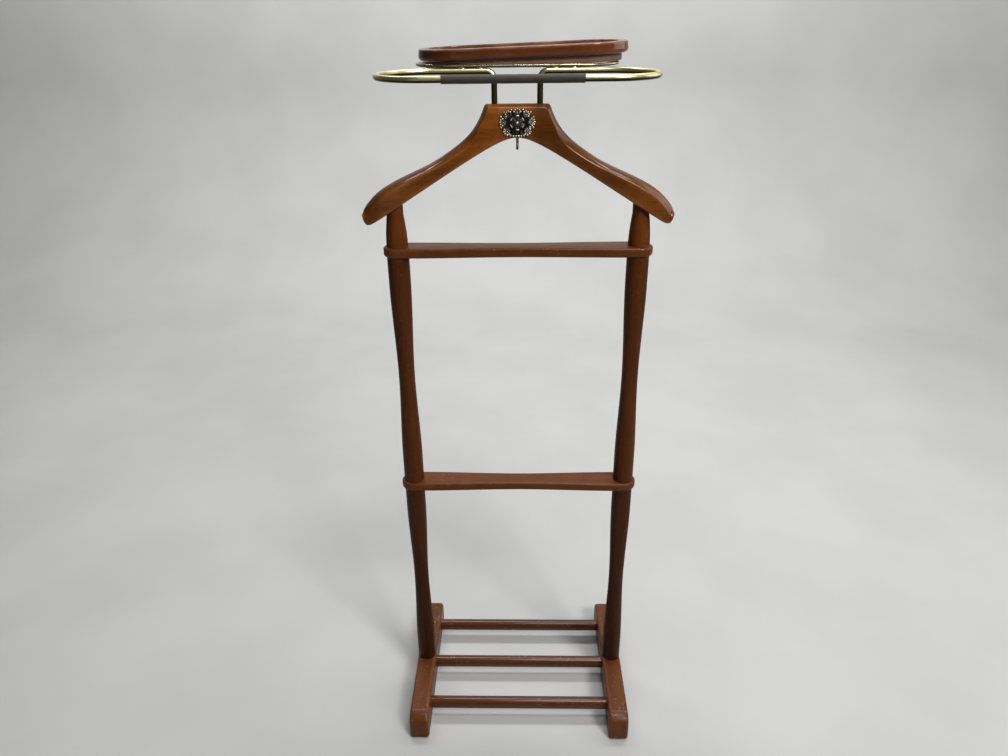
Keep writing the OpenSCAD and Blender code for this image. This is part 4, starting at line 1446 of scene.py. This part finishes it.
lay = tray_matrix()
rim_rings = [[(x, y, z) for x, y in tray_outline(inward - RIM_LEDGE)]
             for inward, z in rim_section()]
tray_wall = skin("tray_wall", laid(rim_rings, lay), tube=True)
dress(tray_wall, "tray_wood", "tray", "tray_rim")
board_rings = [[(x, y, z - FLOOR_T / 2) for x, y in tray_outline(inward)]
               for inward, z in edge_steps(FLOOR_T, FLOOR_EDGE_R, steps=4)]
tray_board = skin("tray_board", laid(board_rings, lay))
dress(tray_board, "tray_floor_wood", "tray", "tray_floor")
print("tray:", len(tray_wall.data.vertices) + len(tray_board.data.vertices), "points")

# %% [markdown]
# ## Screws
# The screws are hidden in the joints, apart from two heads deep in the bores
# under the feet. Their solids have the right shape as they are, so they only
# get the zinc.

# %% Screws
SCREWS = ("foot_screws", "lower_joint_screws", "upper_joint_screws")
for name in SCREWS:
    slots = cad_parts[name].data.materials
    slots.clear()
    slots.append(finishes["screw_steel"])
print("screws:", len(SCREWS), "nodes")

# %% [markdown]
# ## Floor and light
# The stand is shown on a plain pale floor that curves up behind it, like paper in
# a photo studio, so no corner shows. It reaches far out to every side, so that
# no view sees its end near the stand. The key light stands high on the right
# beside the camera, because in the picture the stand's shadow falls to the left
# behind it. A light from above gives the rails and the feet their lighter tops,
# and a wide one on the right draws the bright line along the hanger's ridge. A
# weak one fills in from the left, and a long strip lights only the wall.

# %% Floor and light
FLOOR_HALF, FLOOR_FRONT, SWEEP_Y, SWEEP_R, WALL_TOP = 9.0, -9.0, 1.7, 0.9, 4.2
PAPER_DARK, PAPER_PALE = (0.37, 0.37, 0.36, 1), (0.4, 0.4, 0.392, 1)
PAPER_NOISE, PAPER_SPAN, PAPER_ROUGH = (3.0, 4.0), (0.3, 0.7), 0.85
ROOM_COLOUR, ROOM_STRENGTH = (0.95, 0.97, 1, 1), 0.06


def studio_floor():
    """A floor that sweeps up into a wall."""
    line = [(FLOOR_FRONT, 0.0), (SWEEP_Y, 0.0)]
    line += [(SWEEP_Y + y, SWEEP_R + z) for y, z in arc(0, 0, SWEEP_R, -90, 90, steps=24)]
    line.append((SWEEP_Y + SWEEP_R, WALL_TOP))
    bm = bmesh.new()
    rows = [[bm.verts.new((x, y, z)) for y, z in line] for x in (-FLOOR_HALF, FLOOR_HALF)]
    for j in range(len(line) - 1):
        bm.faces.new((rows[0][j], rows[1][j], rows[1][j + 1], rows[0][j + 1]))
    mesh = bpy.data.meshes.new("floor")
    bm.to_mesh(mesh)
    bm.free()
    mesh.shade_smooth()
    return in_scene("floor", mesh)


def paper():
    """Pale matt paper with the faintest cloud in it."""
    made = bpy.data.materials.new("studio_paper")
    made.use_nodes = True
    tree = made.node_tree
    place = add(tree, "TexCoord").outputs["Object"]
    cloud = cloudy(tree, place, PAPER_NOISE, PAPER_SPAN)
    feed(tree, tree.nodes["Principled BSDF"], {
        "Base Color": mixed(tree, cloud, PAPER_DARK, PAPER_PALE), "Roughness": PAPER_ROUGH})
    return made


def soft_light(name, place, target, size, watts):
    """A large area light that looks at a point. Size is its width and height."""
    data = bpy.data.lights.new(name, "AREA")
    data.shape = "RECTANGLE"
    data.size, data.size_y = size
    data.energy = watts
    made = in_scene(name, data)
    made.location = place
    aim = Vector(target) - Vector(place)
    made.rotation_euler = aim.to_track_quat("-Z", "Y").to_euler()


floor = studio_floor()
floor.data.materials.append(paper())
soft_light("key", (1.7, -2.4, 3.0), target=(0, 0, 0.7), size=(1.0, 1.0), watts=118)
soft_light("ceiling", (0.35, -0.7, 2.7), target=(0.1, -0.1, 0), size=(0.7, 0.7), watts=21)
soft_light("left", (-0.6, -1.6, 1.0), target=(-0.1, 0, 1), size=(0.5, 0.9), watts=0.6)
soft_light("right", (1.5, 0.35, 1.5), target=(0.1, 0, 1), size=(1.2, 1.2), watts=9)
soft_light("wall", (0, 1.2, 3.2), target=(0, 2.6, 1.1), size=(3.6, 0.8), watts=132)
world = bpy.data.worlds.new("studio")
world.use_nodes = True
room = {"Color": ROOM_COLOUR, "Strength": ROOM_STRENGTH}
feed(world.node_tree, world.node_tree.nodes["Background"], room)
bpy.context.scene.world = world
bpy.context.scene.view_settings.view_transform = "Standard"
